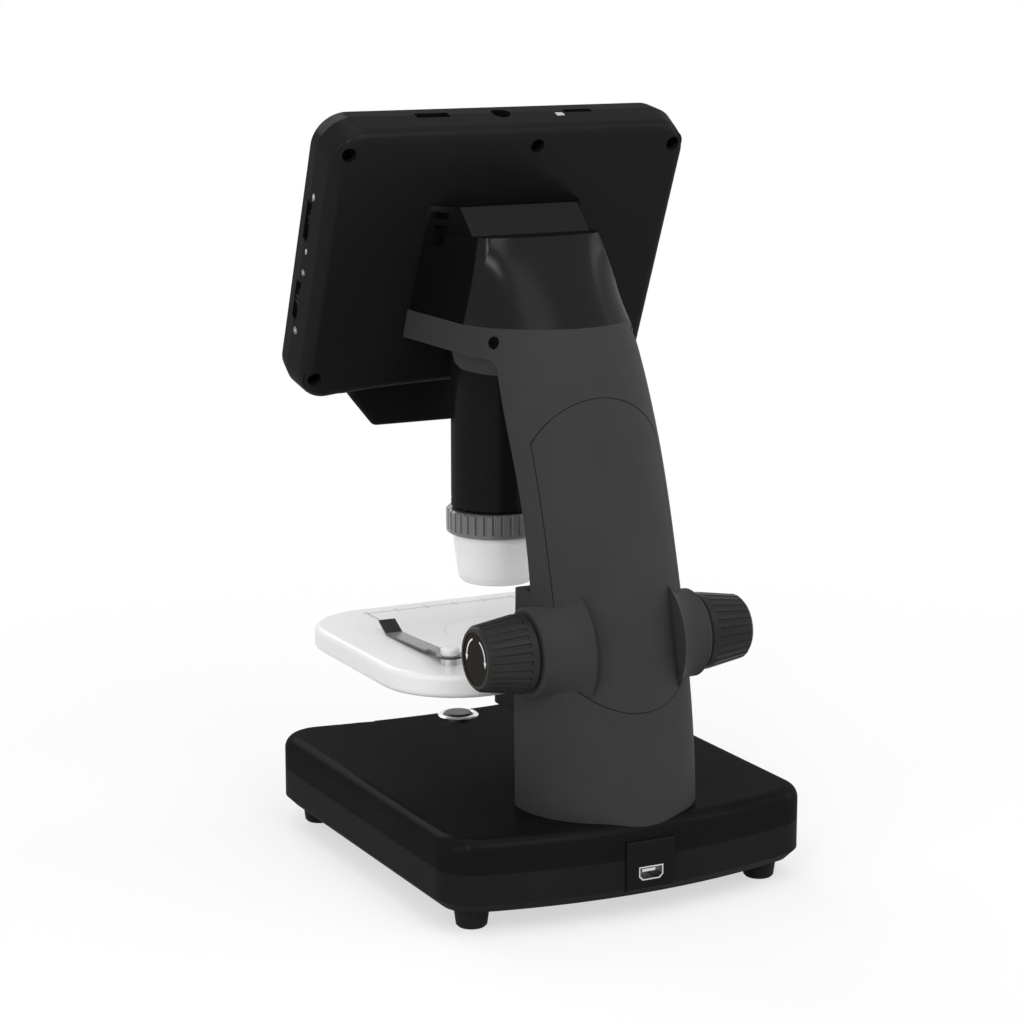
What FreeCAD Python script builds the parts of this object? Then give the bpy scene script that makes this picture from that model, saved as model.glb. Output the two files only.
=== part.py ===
import FreeCAD, Part
import math
import os

# LCD digital microscope. Millimetres, +Z up, floor at Z = 0. The user sits at -Y, the socket side
# is +Y and X = 0 is the plane of symmetry of the stand.

# General fits
FIT_GAP = 0.15
RUN_GAP = 0.3
SHAFT_GAP = 0.05
BOARD_T = 1.6

# Base
BASE_HALF_W = 57.7
BASE_FRONT_Y = -67.4
BASE_FRONT_DIP = 5.6
BASE_REAR_Y = 59.4
BASE_REAR_BULGE = 9.2
BASE_CORNER_R = 12.0
BASE_BOTTOM_Z = 6.5
BASE_SPLIT_Z = 18.0
BASE_TOP_Z = 28.0
BASE_TOP_FILLET = 4.0
BASE_CHAMFER = 2.8
BASE_WALL = 2.4
LIP_HEIGHT = 2.0
LIP_INSET = 1.2

# Feet, base screws and ballast
FOOT_X = 46.6
FOOT_FRONT_Y = -55.4
FOOT_REAR_Y = 51.0
FOOT_TOP_R = 5.2
FOOT_FLOOR_R = 4.4
SCREW_R = 1.5
SCREW_HEAD_R = 2.8
SCREW_HEAD_H = 1.6
SCREW_CROSS = 0.3
BASE_SCREW_X = 42.0
BASE_SCREW_Y = 36.0
BALLAST_HALF_W = 30.0
BALLAST_FRONT_Y = -40.0
BALLAST_REAR_Y = 30.0
BALLAST_T = 5.0

# Rear port
PORT_FACE_Y = 69.4
PORT_HALF_W = 7.6
PORT_BOTTOM_Z = 8.9
PORT_TOP_Z = 23.0
PORT_T = 3.2
USB_W = 7.7
USB_H = 3.95
USB_DEPTH = 9.0
USB_SHEET = 0.35
USB_BEVEL = 1.1
USB_Z = 13.6
POWER_POST_X = 18.0
POWER_POST_Y = 48.0

# Power button near the front edge of the base
POWER_Y = -52.8
POWER_R = 4.6
POWER_RING_R = 6.4
POWER_SEAT_R = 5.5
POWER_PROUD = 0.9
POWER_FLANGE_T = 1.0

# Column: circles of radius COLUMN_R whose rear points lean forward with height, as (Z, Y)
COLUMN_R = 26.5
COLUMN_WALL = 2.4
COLUMN_SINK = 1.5
COLUMN_REAR = [
    (20.0, 67.9), (42.0, 66.6), (60.0, 64.0), (86.5, 58.0), (106.0, 52.5),
    (125.0, 46.0), (140.0, 39.3), (150.5, 33.6), (160.5, 26.8),
]
COLUMN_LOW_FRONT_Y = 37.5
COLUMN_STEP_Z = 90.0
COLUMN_FRONT = [(90.0, 42.2), (100.0, 39.9), (116.0, 35.1), (132.0, 28.5), (148.0, 21.2)]
COLLAR_BOTTOM_Z = 152.0
COLLAR_HALF_W = 26.0
COLLAR_REAR_Y = 4.0
COLLAR_FLOOR = 2.0
COLLAR_CORNER_Y = 15.0
CABLE_HOLE_R = 5.0
COLLAR_SCREW_DROP = 3.9
COLLAR_SCREW_ANGLE = 32.0
COLLAR_SCREW_R = 1.8
COLLAR_SCREW_SHANK_R = 0.9

# Rear inlay of the column
INLAY_DEPTH = 0.8
INLAY_GAP = 0.22
INLAY_HALF_W = 20.0
INLAY_BOTTOM_Z = 58.0
INLAY_TOP_Z = 142.5
INLAY_TOP_ARCH = 12.0
INLAY_BOTTOM_ARCH = 10.0

# Front cover of the column with the carriage slot
COVER_HALF_W = 24.6
COVER_FRONT_Y = 33.2
COVER_T = 2.4
COVER_ROUND = 1.8
HUMP_HALF_W = 16.9
STRIP_HALF_W = 21.6
STRIP_T = 1.4
UNDER_HALF_W = 25.2
UNDER_T = 4.6
UNDER_FRONT_Y = -3.8
UNDER_BEVEL = 5.4

# Focus drive
KNOB_Y = 44.6
KNOB_Z = 73.9
GEAR_MODULE = 0.8
GEAR_TEETH = 12
GEAR_ANGLE = 25.0
GEAR_ADDENDUM = 0.6
GEAR_DEDENDUM = 0.78
GEAR_BACKLASH = 0.14
GEAR_W = 6.0
SHAFT_R = 3.0
BUSH_R = 4.6
BUSH_L = 7.0
BUSH_TUBE_R = 6.9
BOSS_FACE_X = 26.6
BOSS_R = 12.6
BOSS_ROUND = 0.8
FLARE_X = 14.0
FLARE_R = 18.6
KNOB_IN_X = 27.2
KNOB_OUT_X = 42.2
KNOB_IN_R = 11.1
KNOB_OUT_R = 9.3
KNOB_BAND = 2.6
KNOB_ROUND = 0.9
KNOB_FLUTES = 28
KNOB_FLUTE_R = 0.62
KNOB_CAP_R = 7.5
KNOB_CAP_T = 1.0
WASHER_R = 8.0

# Carriage and its travel
TRAVEL_UP = 13.0
TRAVEL_DOWN = 10.0
CARRIAGE_HALF_W = 19.4
CARRIAGE_FRONT_Y = 23.2
CARRIAGE_BACK_Y = 31.7
CARRIAGE_TOP_Z = 83.6
CARRIAGE_BOTTOM_Z = 46.0
CARRIAGE_ROUND = 1.5
ARM_FRONT_Y = -2.0
ARM_HALF_W = 15.0
ARM_T = 7.0
ARM_ROUND = 6.0
NECK_HALF_W = 8.0
NECK_BOTTOM_Z = 50.0
FLANGE_HALF_W = 11.6
FLANGE_T = 2.0
RACK_HALF_W = 2.9
RACK_BOTTOM_Z = 56.0
RACK_SPARE = 3.0
RAIL_T = 2.0
RAIL_LIP = 2.4
RAIL_LIP_T = 1.8
RAIL_BOTTOM_Z = 38.0

# Stage
STAGE_HALF_W = 48.5
STAGE_FRONT_Y = -69.4
STAGE_REAR_Y = 20.2
STAGE_TOP_Z = 62.0
STAGE_T = 7.0
STAGE_FRONT_R = 21.0
STAGE_REAR_R = 24.0
STAGE_EDGE_R = 1.8
STAGE_RIM = 2.4
STAGE_SKIN = 2.4
STAGE_COVER_T = 1.6
STAGE_SCREW_X = 11.0
STAGE_SCREW_YS = (4.0, 12.0)
STAGE_SCREW_R = 1.2
STAGE_SCREW_HEAD_R = 2.4
STAGE_BOSS_R = 3.2
DIFFUSER_R = 16.0
DIFFUSER_T = 1.2
DIFFUSER_LEDGE = 1.6
LIGHT_BOARD_R = 19.0
LIGHT_BOARD_T = 1.2

# Stage clips
CLIP_X = 30.5
CLIP_Y = 4.7
CLIP_W = 5.4
CLIP_T = 0.6
CLIP_EYE_R = 4.0
CLIP_RISE = 2.1
CLIP_FLAT_Y = -4.0
CLIP_TOUCH_Y = -33.0
CLIP_TIP_Y = -39.2
CLIP_TIP_RISE = 3.0
POST_R = 1.6
POST_DISC_R = 2.75
POST_DISC_T = 2.0
POST_CAP_T = 2.2

# Barrel and optics
OPTIC_Y = -25.6
BARREL_R = 13.8
BARREL_BORE_R = 11.0
BARREL_FLANGE_T = 2.0
BARREL_FLANGE_R = 16.4
BARREL_BOTTOM_Z = 100.5
SPIGOT_R = 12.2
SPIGOT_BOTTOM_Z = 87.5
RING_R = 15.3
RING_TOP_Z = 100.2
RING_BOTTOM_Z = 92.8
RING_TEETH = 36
RING_NOTCH_R = 0.55
RING_BAND = 1.4
SHROUD_TOP_Z = 92.5
SHROUD_BOTTOM_Z = 77.8
SHROUD_R = 13.4
SHROUD_END_R = 11.6
SHROUD_WALL = 1.3
SHROUD_ROUND = 2.2
SHROUD_LIP = 0.8
LENS_CELL_Z = 104.0
LENS_CELL_L = 18.0
LENS_R = 7.0
LED_BOARD_T = 1.2
LED_BOARD_HOLE_R = 5.6
LED_COUNT = 8
LED_RING_R = 8.0
LED_R = 1.5
LED_H = 2.6
SENSOR_R = 12.4
SENSOR_CHIP = 4.0
SENSOR_CHIP_T = 1.2

# LCD housing, in a frame that leans back by LCD_TILT: local X along the screen, local Y out of
# the back and local Z up the screen. Depth runs from the back face (0) to the screen side.
LCD_TILT = 22.0
LCD_Y = -26.87
LCD_Z = 174.0
LCD_DEPTH = 17.0
LCD_SPLIT = 10.0
LCD_BACK_HALF_W = 57.0
LCD_SPLIT_HALF_W = 58.3
LCD_FRONT_HALF_W = 57.5
LCD_TAPER = 1.0
LCD_BACK_TOP = 42.9
LCD_SPLIT_TOP = 43.5
LCD_FRONT_TOP = 42.2
LCD_BACK_BOTTOM = -44.7
LCD_SPLIT_BOTTOM = -45.3
LCD_FRONT_BOTTOM = -44.8
LCD_BOTTOM_RISE = 3.4
LCD_CORNER_R = 14.0
LCD_BACK_FILLET = 3.6
LCD_FRONT_FILLET = 1.6
LCD_WALL = 2.2
CHIN_HALF_W = 36.0
CHIN_SHOULDER = -48.5
CHIN_END_HALF_W = 26.5
CHIN_END = -59.5
CHIN_TOP = -43.6
CHIN_ROOT = 2.4
CHIN_BACK = 7.6
CHIN_CORNER_R = 3.0
CHIN_ROUND = 1.4
WINDOW_W = 76.0
WINDOW_H = 58.0
WINDOW_Z = 1.5
WINDOW_T = 1.2
WINDOW_LAND = 2.4
MODULE_W = 80.0
MODULE_H = 62.0
MODULE_T = 2.8
WELL_X = 52.5
WELL_Z = 36.4
WELL_MID_X = -7.0
WELL_MID_Z = 37.2
WELL_R = 2.15
WELL_DEPTH = 3.5
CASE_SCREW_R = 1.0
CASE_SCREW_HEAD_R = 1.9
CASE_SCREW_L = 9.5
CASE_BOSS_R = 3.6
BOARD_DEPTH = 5.8
BOARD_HALF_W = 40.0
BOARD_TOP = 40.0
BOARD_BOTTOM = -12.0
BOARD_POST_R = 2.2
BOARD_POST_X = 34.0
BOARD_POST_ZS = (-8.0, 30.0)
WHEEL_R = 7.0
WHEEL_T = 2.6
WHEEL_INSET = 0.6
WHEEL_UPPER_Z = 11.3
WHEEL_LOWER_Z = -14.5
WHEEL_SLOT_H = 12.2
WHEEL_PIN_R = 1.0
WHEEL_NOTCHES = 24
SOCKET_L = 7.4
CABLE_X0 = 18.3
CABLE_X1 = 28.9
CABLE_H = 3.2
JACK_X = 1.5
JACK_HOLE_R = 2.95
JACK_BORE_R = 1.75
JACK_BODY_R = 3.5
CARD_X0 = -28.3
CARD_X1 = -19.0
CARD_H = 2.2
BUTTON_R = 3.4
BUTTON_COUNT = 5
BUTTON_PITCH = 9.8
BUTTON_TRAVEL = 0.8
BUTTON_PROUD = 1.1
BUTTON_Z = -52.6
BUTTON_CAP_T = 3.4
BUTTON_STEM_R = 1.0

# Neck that joins the housing to the column: (Z, corner half width, corner Y, rear Y)
NECK_SECTIONS = [(160.5, 26.0, 4.6, 26.8), (172.0, 22.8, 5.0, 17.0), (184.4, 19.0, 3.2, 6.4)]
NECK_FRONT_HALF_W = 25.7
NECK_CORNER_R = 5.0
NECK_STEP_Y = -2.7
NECK_TOP_HALF_W = 19.0
NECK_TOP_Y = -11.2
NECK_TOP_Z = 192.0
NECK_ROOM_HALF_W = 14.0
NECK_ROOM_Y = -24.0
NECK_ROOF = 8.0
NECK_PORT_X = 21.0
NECK_PORTS = [(-19.0, -13.6, 188.4, 190.3), (-18.8, -13.2, 181.0, 186.6)]
NECK_SLITS = [(8.5, 18.2), (-23.0, -4.6)]
NECK_SLIT_W = 1.4

# Derived sizes
BASE_FLOOR_Z = BASE_BOTTOM_Z + BASE_WALL
COLUMN_FOOT_Z = BASE_TOP_Z - COLUMN_SINK
COLLAR_TOP_Z = COLUMN_REAR[-1][0]
COLLAR_FLOOR_Z = COLLAR_BOTTOM_Z + COLLAR_FLOOR
BARREL_TOP_Z = COLLAR_FLOOR_Z + BARREL_FLANGE_T
COVER_INNER_Y = COVER_FRONT_Y + COVER_T
UNDER_Z = COLLAR_BOTTOM_Z - UNDER_T
GEAR_PITCH_R = GEAR_MODULE * GEAR_TEETH / 2
GEAR_PITCH = math.pi * GEAR_MODULE
FLANGE_TOP_Z = KNOB_Z + TRAVEL_DOWN + RACK_SPARE
HUMP_TOP_Z = FLANGE_TOP_Z + TRAVEL_UP + 1.6 + COVER_T
STAGE_BOTTOM_Z = STAGE_TOP_Z - STAGE_T
STAGE_COVER_TOP = STAGE_BOTTOM_Z + STAGE_COVER_T
STAGE_ROOM_TOP = STAGE_TOP_Z - STAGE_SKIN
ARM_BOTTOM_Z = STAGE_BOTTOM_Z - ARM_T
CLIP_EYE_Z = STAGE_TOP_Z + CLIP_RISE
BEZEL_INNER = LCD_DEPTH - LCD_WALL
BOARD_FRONT = BOARD_DEPTH + BOARD_T
BEZEL_SLOPE = (LCD_FRONT_TOP - LCD_SPLIT_TOP) / (LCD_DEPTH - LCD_SPLIT)
SOCKET_TOP = LCD_SPLIT_TOP + BEZEL_SLOPE * (BEZEL_INNER - LCD_SPLIT) - LCD_WALL - RUN_GAP
SOCKET_LOW = SOCKET_TOP - SOCKET_L
WHEEL_X = LCD_SPLIT_HALF_W - LCD_TAPER / 2 - WHEEL_INSET - WHEEL_R
FAR = 300.0


def vec(x, y, z):
    return FreeCAD.Vector(x, y, z)


X_AXIS = vec(1, 0, 0)
Z_AXIS = vec(0, 0, 1)
ORIGIN = vec(0, 0, 0)


def box(x0, x1, y0, y1, z0, z1):
    return Part.makeBox(x1 - x0, y1 - y0, z1 - z0, vec(x0, y0, z0))


def rod(x, y, z, radius, length, axis=Z_AXIS):
    return Part.makeCylinder(radius, length, vec(x, y, z), axis)


def tube(x, y, z, outer, inner, length, axis=Z_AXIS):
    return rod(x, y, z, outer, length, axis).cut(rod(x, y, z, inner, length, axis))


def outline_face(points):
    return Part.Face(Part.makePolygon(points + [points[0]]))


def turned(profile, centre, axis=Z_AXIS):
    """Solid of revolution of a closed outline given as (radius, distance along the axis)."""
    side = Z_AXIS if abs(axis.x) > 0.5 else X_AXIS
    points = [centre + side * radius + axis * along for radius, along in profile]
    return outline_face(points).revolve(centre, axis, 360)


def prism_x(points, half_w):
    """Outline in (Y, Z) pushed out to both sides of X = 0."""
    return outline_face([vec(-half_w, y, z) for y, z in points]).extrude(vec(2 * half_w, 0, 0))


def mirrored(shape):
    return shape.mirror(ORIGIN, X_AXIS)


def pick(shape, test):
    return [edge for edge in shape.Edges if test(edge.BoundBox)]


def upright(bounds):
    return bounds.ZLength > 1.0 and bounds.XLength < 0.01 and bounds.YLength < 0.01


def lean(shape):
    """Place a shape drawn in the housing's frame."""
    placed = shape.copy()
    placed.rotate(ORIGIN, X_AXIS, -LCD_TILT)
    placed.translate(vec(0, LCD_Y, LCD_Z))
    return placed


def depth_rod(x, z, depth, radius, length):
    """Rod in the housing's frame that starts at a depth and runs to the screen side."""
    return rod(x, -depth, z, radius, length, vec(0, -1, 0))


def depth_box(x0, x1, d0, d1, z0, z1):
    return box(x0, x1, -d1, -d0, z0, z1)


def back_plane_y(z):
    """Y of the housing's back face at a height."""
    return LCD_Y + (z - LCD_Z) * math.tan(math.radians(LCD_TILT))


def before_back_plane(gap):
    return lean(box(-FAR, FAR, -FAR, gap, -FAR, FAR))


def save(name, *solids):
    shape = solids[0] if len(solids) == 1 else Part.makeCompound(list(solids))
    shape.exportStep("parts/" + name + ".step")
    print(name, len(shape.Solids), round(shape.Volume, 1), shape.isValid())


# Base
def base_block(inset, z0, z1):
    """Plan of the base: hollow front edge, straight sides, bowed rear edge and round corners."""
    w = BASE_HALF_W - inset
    front = BASE_FRONT_Y + inset
    rear = BASE_REAR_Y - inset
    front_mid = vec(0, front + BASE_FRONT_DIP, z0)
    rear_mid = vec(0, rear + BASE_REAR_BULGE, z0)
    wire = Part.Wire([
        Part.Arc(vec(-w, front, z0), front_mid, vec(w, front, z0)).toShape(),
        Part.makeLine(vec(w, front, z0), vec(w, rear, z0)),
        Part.Arc(vec(w, rear, z0), rear_mid, vec(-w, rear, z0)).toShape(),
        Part.makeLine(vec(-w, rear, z0), vec(-w, front, z0)),
    ])
    block = Part.Face(wire).extrude(vec(0, 0, z1 - z0))
    return block.makeFillet(BASE_CORNER_R - inset, pick(block, upright))


def port_room(inset, depth):
    w = PORT_HALF_W - inset
    return box(-w, w, PORT_FACE_Y - depth, FAR, PORT_BOTTOM_Z + inset, PORT_TOP_Z - inset)


def make_base_shells():
    upper = base_block(0, BASE_SPLIT_Z, BASE_TOP_Z)
    upper = upper.makeFillet(BASE_TOP_FILLET, pick(upper, lambda b: b.ZMin > BASE_TOP_Z - 0.01))
    upper = upper.cut(base_block(BASE_WALL, BASE_SPLIT_Z - 1, BASE_TOP_Z - BASE_WALL))
    upper = upper.cut(base_block(LIP_INSET, BASE_SPLIT_Z - 1, BASE_SPLIT_Z + LIP_HEIGHT + FIT_GAP))

    lower = base_block(0, BASE_BOTTOM_Z, BASE_SPLIT_Z)
    lower = lower.makeChamfer(BASE_CHAMFER, pick(lower, lambda b: b.ZMax < BASE_BOTTOM_Z + 0.01))
    lip_top = BASE_SPLIT_Z + LIP_HEIGHT
    lip = base_block(LIP_INSET + FIT_GAP, BASE_SPLIT_Z - 1, lip_top)
    lower = lower.fuse(lip).cut(base_block(BASE_WALL, BASE_FLOOR_Z, lip_top + 1))

    screws = []
    seat_z = BASE_FLOOR_Z + SCREW_HEAD_H
    roof_z = BASE_TOP_Z - BASE_WALL
    for x, y in [(sx * BASE_SCREW_X, sy * BASE_SCREW_Y) for sx in (-1, 1) for sy in (-1, 1)]:
        lower = lower.fuse(rod(x, y, BASE_BOTTOM_Z + 1, SCREW_HEAD_R + 1.4, BASE_SPLIT_Z - BASE_BOTTOM_Z - 1))
        lower = lower.cut(rod(x, y, 0, SCREW_HEAD_R + FIT_GAP, seat_z))
        lower = lower.cut(rod(x, y, 0, SCREW_R, BASE_SPLIT_Z + 1))
        upper = upper.fuse(rod(x, y, BASE_SPLIT_Z, SCREW_HEAD_R + 1, roof_z - BASE_SPLIT_Z))
        upper = upper.cut(rod(x, y, BASE_SPLIT_Z - 1, SCREW_R, 6))
        head_z = seat_z - SCREW_HEAD_H
        head = rod(x, y, head_z, SCREW_HEAD_R, SCREW_HEAD_H)
        head = head.cut(box(x - 1.6, x + 1.6, y - SCREW_CROSS, y + SCREW_CROSS, 0, head_z + 0.7))
        head = head.cut(box(x - SCREW_CROSS, x + SCREW_CROSS, y - 1.6, y + 1.6, 0, head_z + 0.7))
        screws.append(head.fuse(rod(x, y, seat_z, SCREW_R, BASE_SPLIT_Z + 4 - seat_z)))

    post_h = USB_Z - USB_H / 2 - BOARD_T - BASE_BOTTOM_Z - 1
    for x in (-POWER_POST_X, POWER_POST_X):
        lower = lower.fuse(rod(x, POWER_POST_Y, BASE_BOTTOM_Z + 1, BOARD_POST_R, post_h))
    room = port_room(-FIT_GAP, PORT_T + RUN_GAP)
    upper = upper.cut(room)
    lower = lower.cut(room)
    upper = upper.cut(column_loft(0, COLUMN_FOOT_Z).common(behind_front(0)))
    upper = upper.cut(rod(0, POWER_Y, roof_z - 1, POWER_SEAT_R, BASE_WALL + 2))
    upper = upper.cut(rod(0, COLUMN_LOW_FRONT_Y + 14, roof_z - 1, CABLE_HOLE_R, BASE_WALL + 2))
    save("base_upper_shell", upper)
    save("base_lower_shell", lower)
    save("base_screws", *screws)


def usb_block(inset, y0, y1):
    """Bar with the socket's outline: the two lower corners are bevelled."""
    w = USB_W / 2 - inset
    h = USB_H / 2 - inset
    block = box(-w, w, y0, y1, USB_Z - h, USB_Z + h)
    bevels = pick(block, lambda b: b.YLength > 1 and b.ZMax < USB_Z)
    return block.makeChamfer(USB_BEVEL - inset * 0.4, bevels)


def make_base_fittings():
    feet = []
    for x, y in [(side * FOOT_X, y) for side in (-1, 1) for y in (FOOT_FRONT_Y, FOOT_REAR_Y)]:
        outline = [
            (0, 0), (FOOT_FLOOR_R - 0.6, 0), (FOOT_FLOOR_R, 0.6),
            (FOOT_TOP_R, BASE_BOTTOM_Z), (0, BASE_BOTTOM_Z),
        ]
        feet.append(turned(outline, vec(x, y, 0)))
    save("rubber_feet", *feet)
    w = BALLAST_HALF_W
    floor = BASE_FLOOR_Z
    save("ballast_plate", box(-w, w, BALLAST_FRONT_Y, BALLAST_REAR_Y, floor, floor + BALLAST_T))

    panel = port_room(0, PORT_T).common(box(-FAR, FAR, -FAR, PORT_FACE_Y, 0, FAR))
    panel = panel.makeChamfer(0.35, pick(panel, lambda b: b.YMin > PORT_FACE_Y - 0.01))
    back_y = PORT_FACE_Y - USB_DEPTH
    usb = usb_block(0, back_y, PORT_FACE_Y)
    save("port_panel", panel.cut(usb))
    tongue = box(-2.1, 2.1, back_y + 0.5, PORT_FACE_Y - 1.4, USB_Z, USB_Z + 0.8)
    save("usb_socket", usb.cut(usb_block(USB_SHEET, back_y + 1, PORT_FACE_Y + 1)).fuse(tongue))

    board_z = USB_Z - USB_H / 2
    board_y = PORT_FACE_Y - PORT_T - 0.4
    board = box(-22, 22, board_y - 24, board_y, board_z - BOARD_T, board_z)
    save("power_board", board.common(base_block(BASE_WALL + RUN_GAP, 0, BASE_TOP_Z)))


def make_power_button():
    seat_z = BASE_TOP_Z - BASE_WALL
    top_z = BASE_TOP_Z + POWER_PROUD
    hole_r = POWER_R + SHAFT_GAP
    outline = [
        (hole_r, seat_z), (POWER_SEAT_R, seat_z), (POWER_SEAT_R, BASE_TOP_Z), (POWER_RING_R, BASE_TOP_Z),
        (POWER_RING_R, top_z - 0.4), (POWER_RING_R - 0.5, top_z), (hole_r + 0.4, top_z), (hole_r, top_z - 0.4),
    ]
    save("power_button_ring", turned(outline, vec(0, POWER_Y, 0)))
    flange_z = seat_z - RUN_GAP
    outline = [
        (0, flange_z - POWER_FLANGE_T), (POWER_SEAT_R, flange_z - POWER_FLANGE_T), (POWER_SEAT_R, flange_z),
        (POWER_R, flange_z), (POWER_R, top_z), (POWER_R - 0.6, top_z + 0.5), (0, top_z + 0.5),
    ]
    save("power_button", turned(outline, vec(0, POWER_Y, 0)))


# Column
def column_loft(inset, low_z):
    sections = []
    for z, rear in COLUMN_REAR:
        circle = Part.makeCircle(COLUMN_R - inset, vec(0, rear - COLUMN_R, z), Z_AXIS)
        sections.append(Part.Wire(circle))
    loft = Part.makeLoft(sections, True, False)
    return loft.common(box(-FAR, FAR, -FAR, FAR, low_z, COLLAR_TOP_Z))


def column_centre_y(z):
    """Centre of the column's circle at a height, between the given sections."""
    for (z0, y0), (z1, y1) in zip(COLUMN_REAR, COLUMN_REAR[1:]):
        if z <= z1:
            return y0 + (y1 - y0) * (z - z0) / (z1 - z0) - COLUMN_R
    return COLUMN_REAR[-1][1] - COLUMN_R


def behind_front(offset):
    """Everything behind the column's front line, with the line moved to the rear by offset."""
    x = -FAR / 2
    curve = Part.BSplineCurve()
    curve.interpolate([vec(x, y + offset, z) for z, y in COLUMN_FRONT])
    low_y = COLUMN_LOW_FRONT_Y + offset
    start = vec(x, COLUMN_FRONT[0][1] + offset, COLUMN_STEP_Z)
    end = vec(x, COLUMN_FRONT[-1][1] + offset, COLUMN_FRONT[-1][0])
    corner = vec(x, COLLAR_CORNER_Y, COLLAR_BOTTOM_Z)
    middle = (end + corner) * 0.5 + vec(0, 0.9, 1.0)
    points = [
        corner, vec(x, -FAR, COLLAR_BOTTOM_Z), vec(x, -FAR, FAR), vec(x, FAR, FAR),
        vec(x, FAR, 0), vec(x, low_y, 0), vec(x, low_y, COLUMN_STEP_Z), start,
    ]
    edges = [curve.toShape(), Part.Arc(end, middle, corner).toShape()]
    edges += [Part.makeLine(a, b) for a, b in zip(points, points[1:])]
    return Part.Face(Part.Wire(edges)).extrude(vec(FAR, 0, 0))


def knob_boss(side):
    """Boss that flares into the column's side along a hollow curve."""
    centre = vec(0, KNOB_Y, KNOB_Z)
    axis = X_AXIS * side
    neck_x = BOSS_FACE_X - BOSS_ROUND - 1.2
    hollow = (BOSS_R + (FLARE_R - BOSS_R) * 0.3, FLARE_X + (neck_x - FLARE_X) * 0.43)
    outline = [
        (0, FLARE_X), (FLARE_R, FLARE_X), hollow, (BOSS_R, neck_x), (BOSS_R, BOSS_FACE_X - BOSS_ROUND),
        (BOSS_R - BOSS_ROUND, BOSS_FACE_X), (0, BOSS_FACE_X),
    ]
    p = [centre + Z_AXIS * radius + axis * along for radius, along in outline]
    edges = [Part.makeLine(p[0], p[1]), Part.Arc(p[1], p[2], p[3]).toShape()]
    edges += [Part.makeLine(a, b) for a, b in zip(p[3:], p[4:] + p[:1])]
    return Part.Face(Part.Wire(edges)).revolve(centre, axis, 360)


def inlay_prism(inset):
    """Thumbnail outline on the column's rear, pushed towards +Y."""
    w = INLAY_HALF_W - inset
    top = INLAY_TOP_Z - inset
    low = INLAY_BOTTOM_Z + inset
    y = 20.0
    top_side = top - INLAY_TOP_ARCH
    low_side = low + INLAY_BOTTOM_ARCH
    wire = Part.Wire([
        Part.Arc(vec(-w, y, top_side), vec(0, y, top), vec(w, y, top_side)).toShape(),
        Part.makeLine(vec(w, y, top_side), vec(w, y, low_side)),
        Part.Arc(vec(w, y, low_side), vec(0, y, low), vec(-w, y, low_side)).toShape(),
        Part.makeLine(vec(-w, y, low_side), vec(-w, y, top_side)),
    ])
    return Part.Face(wire).extrude(vec(0, 60, 0))


def collar_screw_line(side):
    """Point on the collar's surface and the outward direction of its screw."""
    angle = math.radians(COLLAR_SCREW_ANGLE)
    out = vec(side * math.cos(angle), math.sin(angle), 0)
    z = COLLAR_TOP_Z - COLLAR_SCREW_DROP
    return vec(0, column_centre_y(z), z) + out * COLUMN_R, out


def make_column():
    behind = behind_front(0)
    outer = column_loft(0, COLUMN_FOOT_Z)
    collar = box(-COLLAR_HALF_W, COLLAR_HALF_W, -60, COLLAR_REAR_Y, COLLAR_BOTTOM_Z, COLLAR_TOP_Z)
    body = outer.fuse(collar).common(behind)
    face_part = box(COVER_HALF_W + RUN_GAP, FAR, 0, FAR, 0, FAR)
    for side in (-1, 1):
        boss = knob_boss(side)
        rim = boss.common(face_part if side > 0 else mirrored(face_part))
        body = body.fuse(boss.common(behind)).fuse(rim)
    inner = column_loft(COLUMN_WALL, COLUMN_FOOT_Z)
    low_room = inner.common(box(-FAR, FAR, -FAR, FAR, 0, COLLAR_BOTTOM_Z - COLLAR_FLOOR))
    w = COLLAR_HALF_W - COLUMN_WALL
    high_room = inner.common(box(-FAR, FAR, -FAR, FAR, COLLAR_FLOOR_Z, FAR))
    high_room = high_room.fuse(box(-w, w, -60, 0, COLLAR_FLOOR_Z, COLLAR_TOP_Z + 1))
    body = body.cut(low_room).cut(high_room)
    body = body.cut(rod(0, COLLAR_CORNER_Y - 6, COLLAR_BOTTOM_Z - 4, CABLE_HOLE_R, 10))
    body = body.cut(rod(0, OPTIC_Y, COLLAR_BOTTOM_Z - 1, BARREL_R + SHAFT_GAP, 8))
    body = body.cut(before_back_plane(0))

    screws = []
    for side in (-1, 1):
        axis = X_AXIS * side
        start_x = side * (FLARE_X + 1.6)
        body = body.fuse(rod(start_x, KNOB_Y, KNOB_Z, BUSH_TUBE_R, BOSS_FACE_X - FLARE_X - 3, axis))
        body = body.cut(rod(0, KNOB_Y, KNOB_Z, SHAFT_R + RUN_GAP, BOSS_FACE_X + 1, axis))
        body = body.cut(rod(side * (BOSS_FACE_X - BUSH_L), KNOB_Y, KNOB_Z, BUSH_R, BUSH_L + 1, axis))
        face, out = collar_screw_line(side)
        pad = face - out * 7
        well = face - out * 1.1
        body = body.fuse(Part.makeCylinder(COLLAR_SCREW_R + 1, 5.6, pad, out))
        body = body.cut(Part.makeCylinder(COLLAR_SCREW_R, 4, well, out))
        body = body.cut(Part.makeCylinder(COLLAR_SCREW_SHANK_R, 6, pad + out * 0.8, out))
        head = Part.makeCylinder(COLLAR_SCREW_R, 0.9, well, out)
        across = Z_AXIS.cross(out)
        for line in (Z_AXIS, across):
            head = head.cut(Part.makeCylinder(SCREW_CROSS, 2.2, well + out * 0.9 - line * 1.1, line))
        screws.append(head.fuse(Part.makeCylinder(COLLAR_SCREW_SHANK_R, 5, well - out * 5, out)))

    skin = outer.cut(column_loft(INLAY_DEPTH, COLUMN_FOOT_Z))
    body = body.cut(skin.common(inlay_prism(0)))
    save("column_shell", body)
    save("rear_inlay_panel", skin.common(inlay_prism(INLAY_GAP)))
    save("collar_screws", *screws)


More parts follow.
